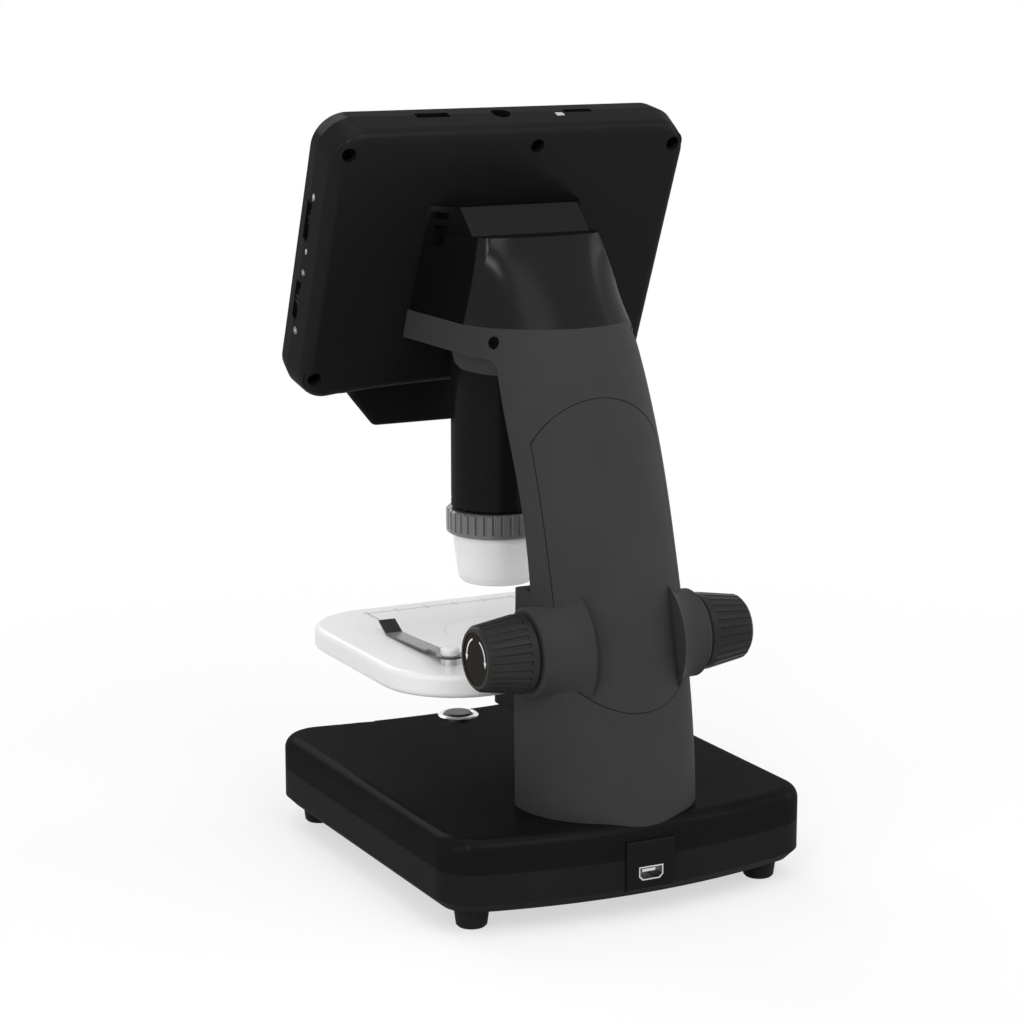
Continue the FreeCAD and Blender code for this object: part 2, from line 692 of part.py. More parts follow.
def make_front_cover():
    w = COVER_HALF_W
    step = COLUMN_STEP_Z
    roof_z = step - COVER_T
    front_y = COVER_FRONT_Y
    low = box(-w, w, front_y, COLUMN_LOW_FRONT_Y, BASE_TOP_Z, step)
    low = low.makeFillet(COVER_ROUND, pick(low, lambda b: upright(b) and b.YMax < front_y + 0.1))
    low = low.cut(box(-w + COVER_T, w - COVER_T, COVER_INNER_Y, FAR, 0, roof_z))
    strip_y = COLUMN_FRONT[0][1]
    shelf_w = STRIP_HALF_W - 1
    shelf = box(-shelf_w, shelf_w, COVER_INNER_Y, strip_y - STRIP_T + 1, roof_z, step)
    band = behind_front(-STRIP_T).cut(behind_front(0))
    strip = band.common(box(-STRIP_HALF_W, STRIP_HALF_W, 0, FAR, step, UNDER_Z + 1))
    hump = box(-HUMP_HALF_W, HUMP_HALF_W, front_y, strip_y + 1, roof_z, HUMP_TOP_Z)
    hump = hump.makeFillet(COVER_ROUND, pick(hump, lambda b: b.YMax < front_y + 0.1 and b.ZMax > step))
    hump = hump.cut(behind_front(0).common(box(-FAR, FAR, -FAR, FAR, step, FAR)))
    hump_w = HUMP_HALF_W - COVER_T
    hump_room = box(-hump_w, hump_w, COVER_INNER_Y, FAR, BASE_TOP_Z + 2, HUMP_TOP_Z - COVER_T)

    d = UNDER_BEVEL
    nose_y = UNDER_FRONT_Y
    rear_y = COLUMN_FRONT[-1][1] + 6
    outline = [
        (nose_y, COLLAR_BOTTOM_Z), (nose_y, COLLAR_BOTTOM_Z - 1), (nose_y + 0.28 * d, UNDER_Z + 1.3),
        (nose_y + d, UNDER_Z), (rear_y, UNDER_Z), (rear_y, COLLAR_BOTTOM_Z),
    ]
    centre = column_centre_y(COLLAR_BOTTOM_Z)
    plan = rod(0, centre, UNDER_Z - 1, UNDER_HALF_W, 8)
    plan = plan.fuse(box(-UNDER_HALF_W, UNDER_HALF_W, -60, centre, UNDER_Z - 1, UNDER_Z + 7))
    under = prism_x(outline, UNDER_HALF_W).common(plan).cut(behind_front(0))
    cover = low.fuse([shelf, strip, hump, under]).cut(hump_room)
    slot_w = NECK_HALF_W + 2 * RUN_GAP
    slot_low = NECK_BOTTOM_Z - TRAVEL_DOWN - 2 * RUN_GAP
    slot_high = CARRIAGE_TOP_Z + TRAVEL_UP + 2 * RUN_GAP
    cover = cover.cut(box(-slot_w, slot_w, front_y - 1, COVER_INNER_Y + 1, slot_low, slot_high))
    save("column_front_cover", cover.removeSplitter())

    rail_x = FLANGE_HALF_W + SHAFT_GAP
    lip_y = COVER_INNER_Y + FLANGE_T + 2 * SHAFT_GAP
    top = HUMP_TOP_Z - COVER_T
    web = box(rail_x, rail_x + RAIL_T, COVER_INNER_Y, lip_y + RAIL_LIP_T, RAIL_BOTTOM_Z, top)
    lip = box(rail_x - RAIL_LIP, rail_x, lip_y, lip_y + RAIL_LIP_T, RAIL_BOTTOM_Z, top)
    rail = web.fuse(lip).removeSplitter()
    save("slide_rails", rail, mirrored(rail))


# Focus drive
def involute(base_r, radius):
    """Polar angle an involute of base_r has gained when it reaches radius."""
    if radius <= base_r:
        return 0.0
    tangent = math.sqrt((radius / base_r) ** 2 - 1)
    return tangent - math.atan(tangent)


def make_pinion():
    tip_r = GEAR_PITCH_R + GEAR_ADDENDUM
    root_r = GEAR_PITCH_R - GEAR_DEDENDUM
    base_r = GEAR_PITCH_R * math.cos(math.radians(GEAR_ANGLE))
    half_tooth = (GEAR_PITCH / 2 - GEAR_BACKLASH) / 2 / GEAR_PITCH_R

    def flank(radius):
        return half_tooth + involute(base_r, GEAR_PITCH_R) - involute(base_r, radius)

    def place(radius, angle):
        y = KNOB_Y - radius * math.cos(angle)
        return vec(-GEAR_W / 2, y, KNOB_Z + radius * math.sin(angle))

    edges = []
    step = 2 * math.pi / GEAR_TEETH
    start_r = max(base_r, root_r + 0.05)
    mid_r = (start_r + tip_r) / 2
    for tooth in range(GEAR_TEETH):
        a = tooth * step
        rise = [place(root_r, a - flank(root_r)), place(start_r, a - flank(start_r))]
        crest = [place(tip_r, a - flank(tip_r)), place(tip_r, a), place(tip_r, a + flank(tip_r))]
        fall = [place(start_r, a + flank(start_r)), place(root_r, a + flank(root_r))]
        next_root = place(root_r, a + step - flank(root_r))
        edges.append(Part.makeLine(rise[0], rise[1]))
        edges.append(Part.Arc(rise[1], place(mid_r, a - flank(mid_r)), crest[0]).toShape())
        edges.append(Part.Arc(*crest).toShape())
        edges.append(Part.Arc(crest[2], place(mid_r, a + flank(mid_r)), fall[0]).toShape())
        edges.append(Part.makeLine(fall[0], fall[1]))
        edges.append(Part.Arc(fall[1], place(root_r, a + step / 2), next_root).toShape())
    gear = Part.Face(Part.Wire(edges)).extrude(vec(GEAR_W, 0, 0))
    save("pinion", gear.cut(rod(-GEAR_W, KNOB_Y, KNOB_Z, SHAFT_R, 2 * GEAR_W, X_AXIS)))


def make_rack(back_y):
    """Rack on the carriage's flange: at rest a gap faces the pinion."""
    pitch_y = KNOB_Y - GEAR_PITCH_R
    tip_y = pitch_y + GEAR_ADDENDUM
    root_y = pitch_y - GEAR_DEDENDUM
    slope = math.tan(math.radians(GEAR_ANGLE))
    half_gap = (GEAR_PITCH / 2 + GEAR_BACKLASH) / 2
    at_top = half_gap + (GEAR_ADDENDUM + 1) * slope
    at_root = half_gap - GEAR_DEDENDUM * slope
    body = box(-RACK_HALF_W, RACK_HALF_W, back_y, tip_y, RACK_BOTTOM_Z, FLANGE_TOP_Z)
    below = int((KNOB_Z - RACK_BOTTOM_Z) / GEAR_PITCH)
    above = int((FLANGE_TOP_Z - KNOB_Z) / GEAR_PITCH)
    gaps = []
    for k in range(-below, above + 1):
        z = KNOB_Z + k * GEAR_PITCH
        outline = [(tip_y + 1, z - at_top), (root_y, z - at_root), (root_y, z + at_root), (tip_y + 1, z + at_top)]
        gaps.append(prism_x(outline, RACK_HALF_W + 1))
    save("focus_rack", body.cut(gaps))


def make_knob(side):
    axis = X_AXIS * side
    centre = vec(0, KNOB_Y, KNOB_Z)
    end = KNOB_OUT_X
    band_x = KNOB_IN_X + KNOB_BAND
    outline = [
        (SHAFT_R, KNOB_IN_X), (KNOB_IN_R - 0.6, KNOB_IN_X), (KNOB_IN_R, KNOB_IN_X + 0.6),
        (KNOB_IN_R, band_x), (KNOB_OUT_R, end - KNOB_ROUND), (KNOB_OUT_R - KNOB_ROUND, end),
        (KNOB_CAP_R, end), (KNOB_CAP_R, end - KNOB_CAP_T), (SHAFT_R, end - KNOB_CAP_T),
    ]
    knob = turned(outline, centre, axis)
    flutes = []
    run = end - band_x + 2
    drop = (KNOB_IN_R - KNOB_OUT_R) * run / (end - band_x)
    for k in range(KNOB_FLUTES):
        angle = 2 * math.pi * k / KNOB_FLUTES
        out = vec(0, math.cos(angle), math.sin(angle))
        start = centre + axis * band_x + out * (KNOB_IN_R + 0.15)
        flutes.append(Part.makeCylinder(KNOB_FLUTE_R, run, start, axis * run - out * drop))
    return knob.cut(flutes)


def make_focus_drive():
    reach = KNOB_OUT_X - KNOB_CAP_T
    save("focus_shaft", rod(-reach, KNOB_Y, KNOB_Z, SHAFT_R, 2 * reach, X_AXIS))
    make_pinion()
    save("left_focus_knob", make_knob(1))
    save("right_focus_knob", make_knob(-1))
    hole_r = SHAFT_R + SHAFT_GAP
    washer_t = KNOB_IN_X - BOSS_FACE_X - 0.1
    bushes = []
    washers = []
    for side, name in ((1, "left_knob_cap"), (-1, "right_knob_cap")):
        axis = X_AXIS * side
        save(name, rod(side * reach, KNOB_Y, KNOB_Z, KNOB_CAP_R - SHAFT_GAP, KNOB_CAP_T - 0.3, axis))
        bushes.append(tube(side * (BOSS_FACE_X - BUSH_L), KNOB_Y, KNOB_Z, BUSH_R, hole_r, BUSH_L, axis))
        washers.append(tube(side * BOSS_FACE_X, KNOB_Y, KNOB_Z, WASHER_R, hole_r, washer_t, axis))
    save("shaft_bushes", *bushes)
    save("friction_washers", *washers)


# Stage
def stage_block(inset, z0, z1):
    w = STAGE_HALF_W - inset
    block = box(-w, w, STAGE_FRONT_Y + inset, STAGE_REAR_Y - inset, z0, z1)
    block = block.makeFillet(STAGE_FRONT_R - inset, pick(block, lambda b: upright(b) and b.YMax < 0))
    rear = pick(block, lambda b: upright(b) and b.YMin > STAGE_REAR_Y - inset - 0.1)
    return block.makeFillet(STAGE_REAR_R - inset, rear)


def stage_screw_places():
    return [(side * STAGE_SCREW_X, y) for side in (-1, 1) for y in STAGE_SCREW_YS]


def make_stage():
    plate = stage_block(0, STAGE_BOTTOM_Z, STAGE_TOP_Z)
    plate = plate.makeFillet(STAGE_EDGE_R, pick(plate, lambda b: b.ZMin > STAGE_TOP_Z - 0.01))
    plate = plate.makeFillet(STAGE_EDGE_R, pick(plate, lambda b: b.ZMax < STAGE_BOTTOM_Z + 0.01))
    plate = plate.cut(stage_block(STAGE_RIM, STAGE_BOTTOM_Z - 1, STAGE_ROOM_TOP))
    for x, y in stage_screw_places():
        plate = plate.fuse(rod(x, y, STAGE_COVER_TOP, STAGE_BOSS_R, STAGE_TOP_Z - 1 - STAGE_COVER_TOP))
        plate = plate.cut(rod(x, y, STAGE_COVER_TOP - 1, STAGE_SCREW_R, STAGE_ROOM_TOP - STAGE_COVER_TOP + 1))
    diffuser_z = STAGE_TOP_Z - DIFFUSER_T
    plate = plate.cut(rod(0, OPTIC_Y, diffuser_z, DIFFUSER_R, FAR))
    plate = plate.cut(rod(0, OPTIC_Y, STAGE_BOTTOM_Z, DIFFUSER_R - DIFFUSER_LEDGE, FAR))
    for side in (-1, 1):
        plate = plate.cut(rod(side * CLIP_X, CLIP_Y, STAGE_ROOM_TOP - 1, POST_R, FAR))
    save("stage_plate", plate)
    save("stage_diffuser", rod(0, OPTIC_Y, diffuser_z, DIFFUSER_R - SHAFT_GAP, DIFFUSER_T))

    cover = stage_block(STAGE_RIM + 0.1, STAGE_BOTTOM_Z, STAGE_COVER_TOP)
    head_top = ARM_BOTTOM_Z + SCREW_HEAD_H
    screws = []
    for x, y in stage_screw_places():
        cover = cover.cut(rod(x, y, STAGE_BOTTOM_Z - 1, STAGE_SCREW_R, STAGE_COVER_T + 2))
        head = rod(x, y, ARM_BOTTOM_Z, STAGE_SCREW_HEAD_R, SCREW_HEAD_H)
        screws.append(head.fuse(rod(x, y, head_top, STAGE_SCREW_R, STAGE_ROOM_TOP - 0.2 - head_top)))
    save("stage_under_cover", cover)
    save("stage_screws", *screws)
    save("light_board", rod(0, OPTIC_Y, STAGE_COVER_TOP, LIGHT_BOARD_R, LIGHT_BOARD_T))


def make_carriage():
    z0 = CARRIAGE_BOTTOM_Z
    top = CARRIAGE_TOP_Z
    w = CARRIAGE_HALF_W
    block = box(-w, w, CARRIAGE_FRONT_Y, CARRIAGE_BACK_Y, z0, top)
    block = block.makeFillet(CARRIAGE_ROUND, pick(block, lambda b: upright(b) or b.ZMin > top - 0.1))
    arm = box(-ARM_HALF_W, ARM_HALF_W, ARM_FRONT_Y, CARRIAGE_BACK_Y - 2, ARM_BOTTOM_Z, STAGE_BOTTOM_Z)
    arm = arm.makeFillet(ARM_ROUND, pick(arm, lambda b: upright(b) and b.YMax < ARM_FRONT_Y + 0.1))
    inner_y = COVER_INNER_Y + SHAFT_GAP
    neck = box(-NECK_HALF_W, NECK_HALF_W, CARRIAGE_BACK_Y - 1, inner_y + 1, NECK_BOTTOM_Z, top)
    back_y = inner_y + FLANGE_T
    flange = box(-FLANGE_HALF_W, FLANGE_HALF_W, inner_y, back_y, NECK_BOTTOM_Z, FLANGE_TOP_Z)
    carriage = block.fuse([arm, neck, flange])
    for x, y in stage_screw_places():
        carriage = carriage.cut(rod(x, y, ARM_BOTTOM_Z - 1, STAGE_SCREW_HEAD_R + FIT_GAP, SCREW_HEAD_H + 1))
        carriage = carriage.cut(rod(x, y, ARM_BOTTOM_Z, STAGE_SCREW_R, 2 * ARM_T))
    save("stage_carriage", carriage.removeSplitter())
    make_rack(back_y)


def make_clip(side):
    """Bent spring strip: an eye round its post, a slope to the touching ridge and a raised tip."""
    eye_z = CLIP_EYE_Z
    touch_z = STAGE_TOP_Z + 0.1
    lower = [
        (CLIP_Y, eye_z), (CLIP_FLAT_Y, eye_z), (CLIP_FLAT_Y - 3, eye_z - 1),
        (CLIP_TOUCH_Y + 1, touch_z), (CLIP_TOUCH_Y - 1, touch_z), (CLIP_TIP_Y, STAGE_TOP_Z + CLIP_TIP_RISE),
    ]
    upper = [(y, z + CLIP_T) for y, z in reversed(lower)]
    x = side * CLIP_X
    strip = outline_face([vec(x - CLIP_W / 2, y, z) for y, z in lower + upper]).extrude(vec(CLIP_W, 0, 0))
    eye = rod(x, CLIP_Y, eye_z, CLIP_EYE_R, CLIP_T)
    return strip.fuse(eye).cut(rod(x, CLIP_Y, eye_z - 1, POST_R + SHAFT_GAP, 3)).removeSplitter()


def make_clips():
    save("left_stage_clip", make_clip(1))
    save("right_stage_clip", make_clip(-1))
    posts = []
    caps = []
    low_z = STAGE_ROOM_TOP
    cap_z = CLIP_EYE_Z + CLIP_T + SHAFT_GAP
    for side in (-1, 1):
        x = side * CLIP_X
        post = rod(x, CLIP_Y, low_z, POST_R, cap_z + 1 - low_z)
        posts.append(post.fuse(rod(x, CLIP_Y, STAGE_TOP_Z, POST_DISC_R, POST_DISC_T)).removeSplitter())
        outline = [
            (POST_R, cap_z), (POST_DISC_R, cap_z), (POST_DISC_R, cap_z + POST_CAP_T - 0.5),
            (POST_DISC_R - 0.5, cap_z + POST_CAP_T), (0, cap_z + POST_CAP_T), (0, cap_z + 1), (POST_R, cap_z + 1),
        ]
        caps.append(turned(outline, vec(x, CLIP_Y, 0)))
    save("clip_posts", *posts)
    save("clip_caps", *caps)


# Barrel
def make_barrel():
    centre = vec(0, OPTIC_Y, 0)
    outline = [
        (BARREL_BORE_R, SPIGOT_BOTTOM_Z), (SPIGOT_R, SPIGOT_BOTTOM_Z), (SPIGOT_R, BARREL_BOTTOM_Z),
        (BARREL_R - 0.5, BARREL_BOTTOM_Z), (BARREL_R, BARREL_BOTTOM_Z + 0.5),
        (BARREL_R, BARREL_TOP_Z), (BARREL_BORE_R, BARREL_TOP_Z),
    ]
    flange = tube(0, OPTIC_Y, COLLAR_FLOOR_Z, BARREL_FLANGE_R, BARREL_R - 0.5, BARREL_FLANGE_T)
    barrel = turned(outline, centre).fuse(flange.cut(before_back_plane(RUN_GAP)))
    save("barrel_tube", barrel.removeSplitter())

    ring = tube(0, OPTIC_Y, RING_BOTTOM_Z, RING_R, SPIGOT_R + SHAFT_GAP, RING_TOP_Z - RING_BOTTOM_Z)
    ring = ring.makeChamfer(0.5, pick(ring, lambda b: b.XLength > 2 * RING_R - 0.1 and b.ZLength < 0.01))
    notches = []
    for k in range(RING_TEETH):
        angle = 2 * math.pi * k / RING_TEETH
        x = RING_R * math.cos(angle)
        notches.append(rod(x, OPTIC_Y + RING_R * math.sin(angle), RING_BOTTOM_Z + RING_BAND, RING_NOTCH_R, 20))
    save("magnification_ring", ring.cut(notches))

    inner = SHROUD_END_R - SHROUD_WALL
    half = SHROUD_ROUND / 2
    low = SHROUD_BOTTOM_Z
    outline = [
        (SPIGOT_R, SPIGOT_BOTTOM_Z), (SPIGOT_R, SHROUD_TOP_Z), (SHROUD_R, SHROUD_TOP_Z),
        (SHROUD_END_R + 0.25, low + SHROUD_ROUND), (SHROUD_END_R - 0.35, low + half * 0.6),
        (SHROUD_END_R - half, low), (inner - SHROUD_LIP, low), (inner - SHROUD_LIP, low + 1),
        (inner, low + 1.6), (BARREL_BORE_R + 0.6, SPIGOT_BOTTOM_Z),
    ]
    save("light_shroud", turned(outline, centre))

    cell_r = BARREL_BORE_R - SHAFT_GAP
    cell_top = LENS_CELL_Z + LENS_CELL_L
    save("lens_cell", tube(0, OPTIC_Y, LENS_CELL_Z, cell_r, LENS_R, LENS_CELL_L))
    lens_mid = (LENS_CELL_Z + cell_top) / 2
    outline = [
        (0, lens_mid - 3.2), (LENS_R * 0.6, lens_mid - 2.7), (LENS_R, lens_mid - 1.5),
        (LENS_R, lens_mid + 1.5), (LENS_R * 0.6, lens_mid + 2.7), (0, lens_mid + 3.2),
    ]
    save("lens", turned(outline, centre))

    board_z = SPIGOT_BOTTOM_Z - LED_BOARD_T
    save("led_ring_board", tube(0, OPTIC_Y, board_z, BARREL_BORE_R + 0.3, LED_BOARD_HOLE_R, LED_BOARD_T))
    leds = []
    for k in range(LED_COUNT):
        angle = 2 * math.pi * (k + 0.5) / LED_COUNT
        spot = vec(LED_RING_R * math.cos(angle), OPTIC_Y + LED_RING_R * math.sin(angle), board_z)
        body = Part.makeCylinder(LED_R, LED_H - LED_R, spot, vec(0, 0, -1))
        dome = Part.makeSphere(LED_R, spot - Z_AXIS * (LED_H - LED_R))
        leds.append(body.fuse(dome.common(box(-FAR, FAR, -FAR, FAR, 0, board_z - 0.01))).removeSplitter())
    save("leds", *leds)
    c = SENSOR_CHIP
    chip = box(-c, c, OPTIC_Y - c, OPTIC_Y + c, BARREL_TOP_Z - SENSOR_CHIP_T, BARREL_TOP_Z)
    save("sensor_board", rod(0, OPTIC_Y, BARREL_TOP_Z, SENSOR_R, BOARD_T).fuse(chip))


# LCD housing
def between(depth, back, split, front):
    """Size at a depth: linear from the back face to the split and on to the screen side."""
    if depth <= LCD_SPLIT:
        return back + (split - back) * depth / LCD_SPLIT
    return split + (front - split) * (depth - LCD_SPLIT) / (LCD_DEPTH - LCD_SPLIT)


def housing_wire(depth, inset):
    w = between(depth, LCD_BACK_HALF_W, LCD_SPLIT_HALF_W, LCD_FRONT_HALF_W) - inset
    top = between(depth, LCD_BACK_TOP, LCD_SPLIT_TOP, LCD_FRONT_TOP) - inset
    low = between(depth, LCD_BACK_BOTTOM, LCD_SPLIT_BOTTOM, LCD_FRONT_BOTTOM) + inset
    low_w = w - LCD_TAPER
    y = -depth
    rise = vec(0, y, low + LCD_BOTTOM_RISE)
    return Part.Wire([
        Part.makeLine(vec(-w, y, top), vec(w, y, top)),
        Part.makeLine(vec(w, y, top), vec(low_w, y, low)),
        Part.Arc(vec(low_w, y, low), rise, vec(-low_w, y, low)).toShape(),
        Part.makeLine(vec(-low_w, y, low), vec(-w, y, top)),
    ])


def housing_block(d0, d1, inset):
    block = Part.makeLoft([housing_wire(d0, inset), housing_wire(d1, inset)], True, True)
    length = d1 - d0
    corners = pick(block, lambda b: b.YLength > length - 0.01 and b.XLength < 3 and b.ZLength < 3)
    return block.makeFillet(LCD_CORNER_R - inset, corners)


def screw_places():
    corners = [(sx * WELL_X, sz * WELL_Z) for sx in (-1, 1) for sz in (-1, 1)]
    return corners + [(WELL_MID_X, WELL_MID_Z)]


def neck_front_y(z):
    return back_plane_y(z) - LCD_WALL * 0.8


def neck_wire(z, corner_w, corner_y, rear_y):
    """Plan of the neck at a height, from inside the housing's back wall to the rear."""
    front = neck_front_y(z)
    w = NECK_FRONT_HALF_W
    return Part.Wire([
        Part.makeLine(vec(-w, front, z), vec(w, front, z)),
        Part.makeLine(vec(w, front, z), vec(corner_w, corner_y, z)),
        Part.Arc(vec(corner_w, corner_y, z), vec(0, rear_y, z), vec(-corner_w, corner_y, z)).toShape(),
        Part.makeLine(vec(-corner_w, corner_y, z), vec(-w, front, z)),
    ])


def make_neck():
    lower = Part.makeLoft([neck_wire(*section) for section in NECK_SECTIONS], True, False)
    low_y = min(section[2] for section in NECK_SECTIONS)
    corners = pick(lower, lambda b: b.ZLength > 10 and b.YMin > low_y - 3)
    lower = lower.makeFillet(NECK_CORNER_R, corners)
    step_z = NECK_SECTIONS[-1][0]
    w = NECK_FRONT_HALF_W
    sections = []
    for z, y in ((step_z - 0.5, NECK_STEP_Y), (NECK_TOP_Z, NECK_TOP_Y)):
        front = neck_front_y(z)
        points = [vec(-w, front, z), vec(w, front, z), vec(NECK_TOP_HALF_W, y, z), vec(-NECK_TOP_HALF_W, y, z)]
        sections.append(Part.makePolygon(points + [points[0]]))
    neck = lower.fuse(Part.makeLoft(sections, True, True))
    r = NECK_ROOM_HALF_W
    neck = neck.cut(box(-r, r, NECK_ROOM_Y, 0, 0, step_z - NECK_ROOF))
    cuts = [box(NECK_PORT_X, FAR, *port) for port in NECK_PORTS]
    slit_y = back_plane_y(NECK_TOP_Z)
    for x0, x1 in NECK_SLITS:
        cuts.append(box(x0, x1, slit_y, slit_y + NECK_SLIT_W, NECK_TOP_Z - 1.2, FAR))
    return neck.cut(cuts)


def side_cuts():
    """Openings along the parting line: wheel slots at the side and the ports at the top."""
    mid = LCD_SPLIT
    half = WHEEL_T / 2 + RUN_GAP
    reach = WHEEL_SLOT_H / 2
    cuts = []
    for z in (WHEEL_UPPER_Z, WHEEL_LOWER_Z):
        cuts.append(depth_box(WHEEL_X, FAR, mid - half, mid + half, z - reach, z + reach))
    low = SOCKET_TOP - 2
    cuts.append(depth_box(CABLE_X0, CABLE_X1, mid - CABLE_H / 2, mid + CABLE_H / 2, low, FAR))
    cuts.append(rod(JACK_X, -mid, low, JACK_HOLE_R, 20))
    cuts.append(depth_box(CARD_X0, CARD_X1, mid - CARD_H / 2, mid + CARD_H / 2, low, FAR))
    return cuts


def make_rear_shell():
    shell = housing_block(0, LCD_SPLIT, 0)
    shell = shell.makeFillet(LCD_BACK_FILLET, pick(shell, lambda b: b.YMin > -0.01))
    shell = shell.cut(housing_block(LCD_WALL, LCD_SPLIT + 0.01, LCD_WALL))
    bosses = [depth_rod(x, z, 1, CASE_BOSS_R, LCD_SPLIT - 1) for x, z in screw_places()]
    for x in (-BOARD_POST_X, BOARD_POST_X):
        bosses += [depth_rod(x, z, 1, BOARD_POST_R, BOARD_DEPTH - 1) for z in BOARD_POST_ZS]
    shell = shell.fuse(bosses)
    for x, z in screw_places():
        shell = shell.cut(depth_rod(x, z, -1, WELL_R, WELL_DEPTH + 1))
        shell = shell.cut(depth_rod(x, z, 0, CASE_SCREW_R, LCD_SPLIT + 1))
    shell = lean(shell.cut(side_cuts()))
    pad_room = lean(depth_box(-30, 30, 0.2, LCD_SPLIT - 0.4, -38, -12))
    low_z = COLLAR_BOTTOM_Z - 16
    pad = rod(0, OPTIC_Y, low_z, BARREL_R + LCD_WALL, COLLAR_TOP_Z - low_z).common(pad_room)
    shell = shell.fuse(pad).fuse(make_neck())
    saddle_top = BARREL_TOP_Z + BOARD_T + 2 * RUN_GAP
    shell = shell.cut(rod(0, OPTIC_Y, low_z - 10, BARREL_R + RUN_GAP, saddle_top - low_z + 10))
    save("lcd_rear_shell", shell)


def chin():
    corners = [
        (-CHIN_HALF_W, CHIN_SHOULDER), (-CHIN_END_HALF_W, CHIN_END),
        (CHIN_END_HALF_W, CHIN_END), (CHIN_HALF_W, CHIN_SHOULDER),
    ]
    slabs = []
    for top, d0, d1 in ((CHIN_TOP, CHIN_BACK, LCD_SPLIT + 1), (CHIN_TOP + CHIN_ROOT, LCD_SPLIT, LCD_DEPTH)):
        outline = [(-CHIN_HALF_W, top)] + corners + [(CHIN_HALF_W, top)]
        face = outline_face([vec(x, -d1, z) for x, z in outline])
        slabs.append(face.extrude(vec(0, d1 - d0, 0)))
    block = slabs[0].fuse(slabs[1]).removeSplitter()
    ends = pick(block, lambda b: b.YLength > 5 and b.XLength < 0.01 and b.ZMax < CHIN_SHOULDER + 1)
    block = block.makeFillet(CHIN_CORNER_R, ends)
    rims = pick(block, lambda b: b.YLength < 0.01 and b.ZMin < CHIN_TOP - 1)
    return block.makeFillet(CHIN_ROUND, rims)


def button_places():
    first = -(BUTTON_COUNT - 1) / 2
    return [((first + k) * BUTTON_PITCH, BUTTON_Z) for k in range(BUTTON_COUNT)]


def make_front_bezel():
    bezel = housing_block(LCD_SPLIT, LCD_DEPTH, 0)
    rim = pick(bezel, lambda b: b.YMax < -LCD_DEPTH + 0.01)
    bezel = bezel.makeFillet(LCD_FRONT_FILLET, rim)
    room = Part.Face(housing_wire(BEZEL_INNER, LCD_WALL)).extrude(vec(0, BEZEL_INNER - LCD_SPLIT + 1, 0))
    corners = pick(room, lambda b: b.YLength > 1 and b.XLength < 0.01 and b.ZLength < 0.01)
    bezel = bezel.cut(room.makeFillet(LCD_CORNER_R - LCD_WALL, corners)).fuse(chin())
    z0 = WINDOW_Z - WINDOW_H / 2
    z1 = WINDOW_Z + WINDOW_H / 2
    half = WINDOW_W / 2
    land = WINDOW_LAND
    bezel = bezel.cut(depth_box(-half, half, LCD_DEPTH - WINDOW_T, LCD_DEPTH + 5, z0, z1))
    bezel = bezel.cut(depth_box(-half + land, half - land, BEZEL_INNER - 1, LCD_DEPTH, z0 + land, z1 - land))
    for x, z in screw_places():
        bezel = bezel.fuse(depth_rod(x, z, LCD_SPLIT, CASE_BOSS_R - 0.4, BEZEL_INNER - LCD_SPLIT + 0.5))
        bezel = bezel.cut(depth_rod(x, z, LCD_SPLIT - 1, CASE_SCREW_R, 4.5))
    cap_d = LCD_DEPTH + BUTTON_PROUD - BUTTON_CAP_T
    stem_d = CHIN_BACK + 1
    for x, z in button_places():
        bezel = bezel.cut(depth_rod(x, z, cap_d - BUTTON_TRAVEL - 0.1, BUTTON_R + RUN_GAP, 10))
        bezel = bezel.cut(depth_rod(x, z, stem_d, BUTTON_STEM_R + SHAFT_GAP, 8))
    save("lcd_front_bezel", lean(bezel.cut(side_cuts())))

    half -= SHAFT_GAP
    z0 += SHAFT_GAP
    z1 -= SHAFT_GAP
    save("screen_window", lean(depth_box(-half, half, LCD_DEPTH - WINDOW_T, LCD_DEPTH - SHAFT_GAP, z0, z1)))
    low = WINDOW_Z - MODULE_H / 2
    module = depth_box(-MODULE_W / 2, MODULE_W / 2, BEZEL_INNER - MODULE_T, BEZEL_INNER, low, low + MODULE_H)
    save("lcd_module", lean(module))

    stem_d += BUTTON_TRAVEL + 0.2
    face_y = -LCD_DEPTH - BUTTON_PROUD
    for k, (x, z) in enumerate(button_places()):
        cap = depth_rod(x, z, cap_d, BUTTON_R, BUTTON_CAP_T)
        cap = cap.makeFillet(0.6, pick(cap, lambda b: b.YMax < face_y + 0.01))
        stem = depth_rod(x, z, stem_d, BUTTON_STEM_R, cap_d - stem_d + 0.5)
        save("chin_button_" + str(k + 1), lean(cap.fuse(stem)))


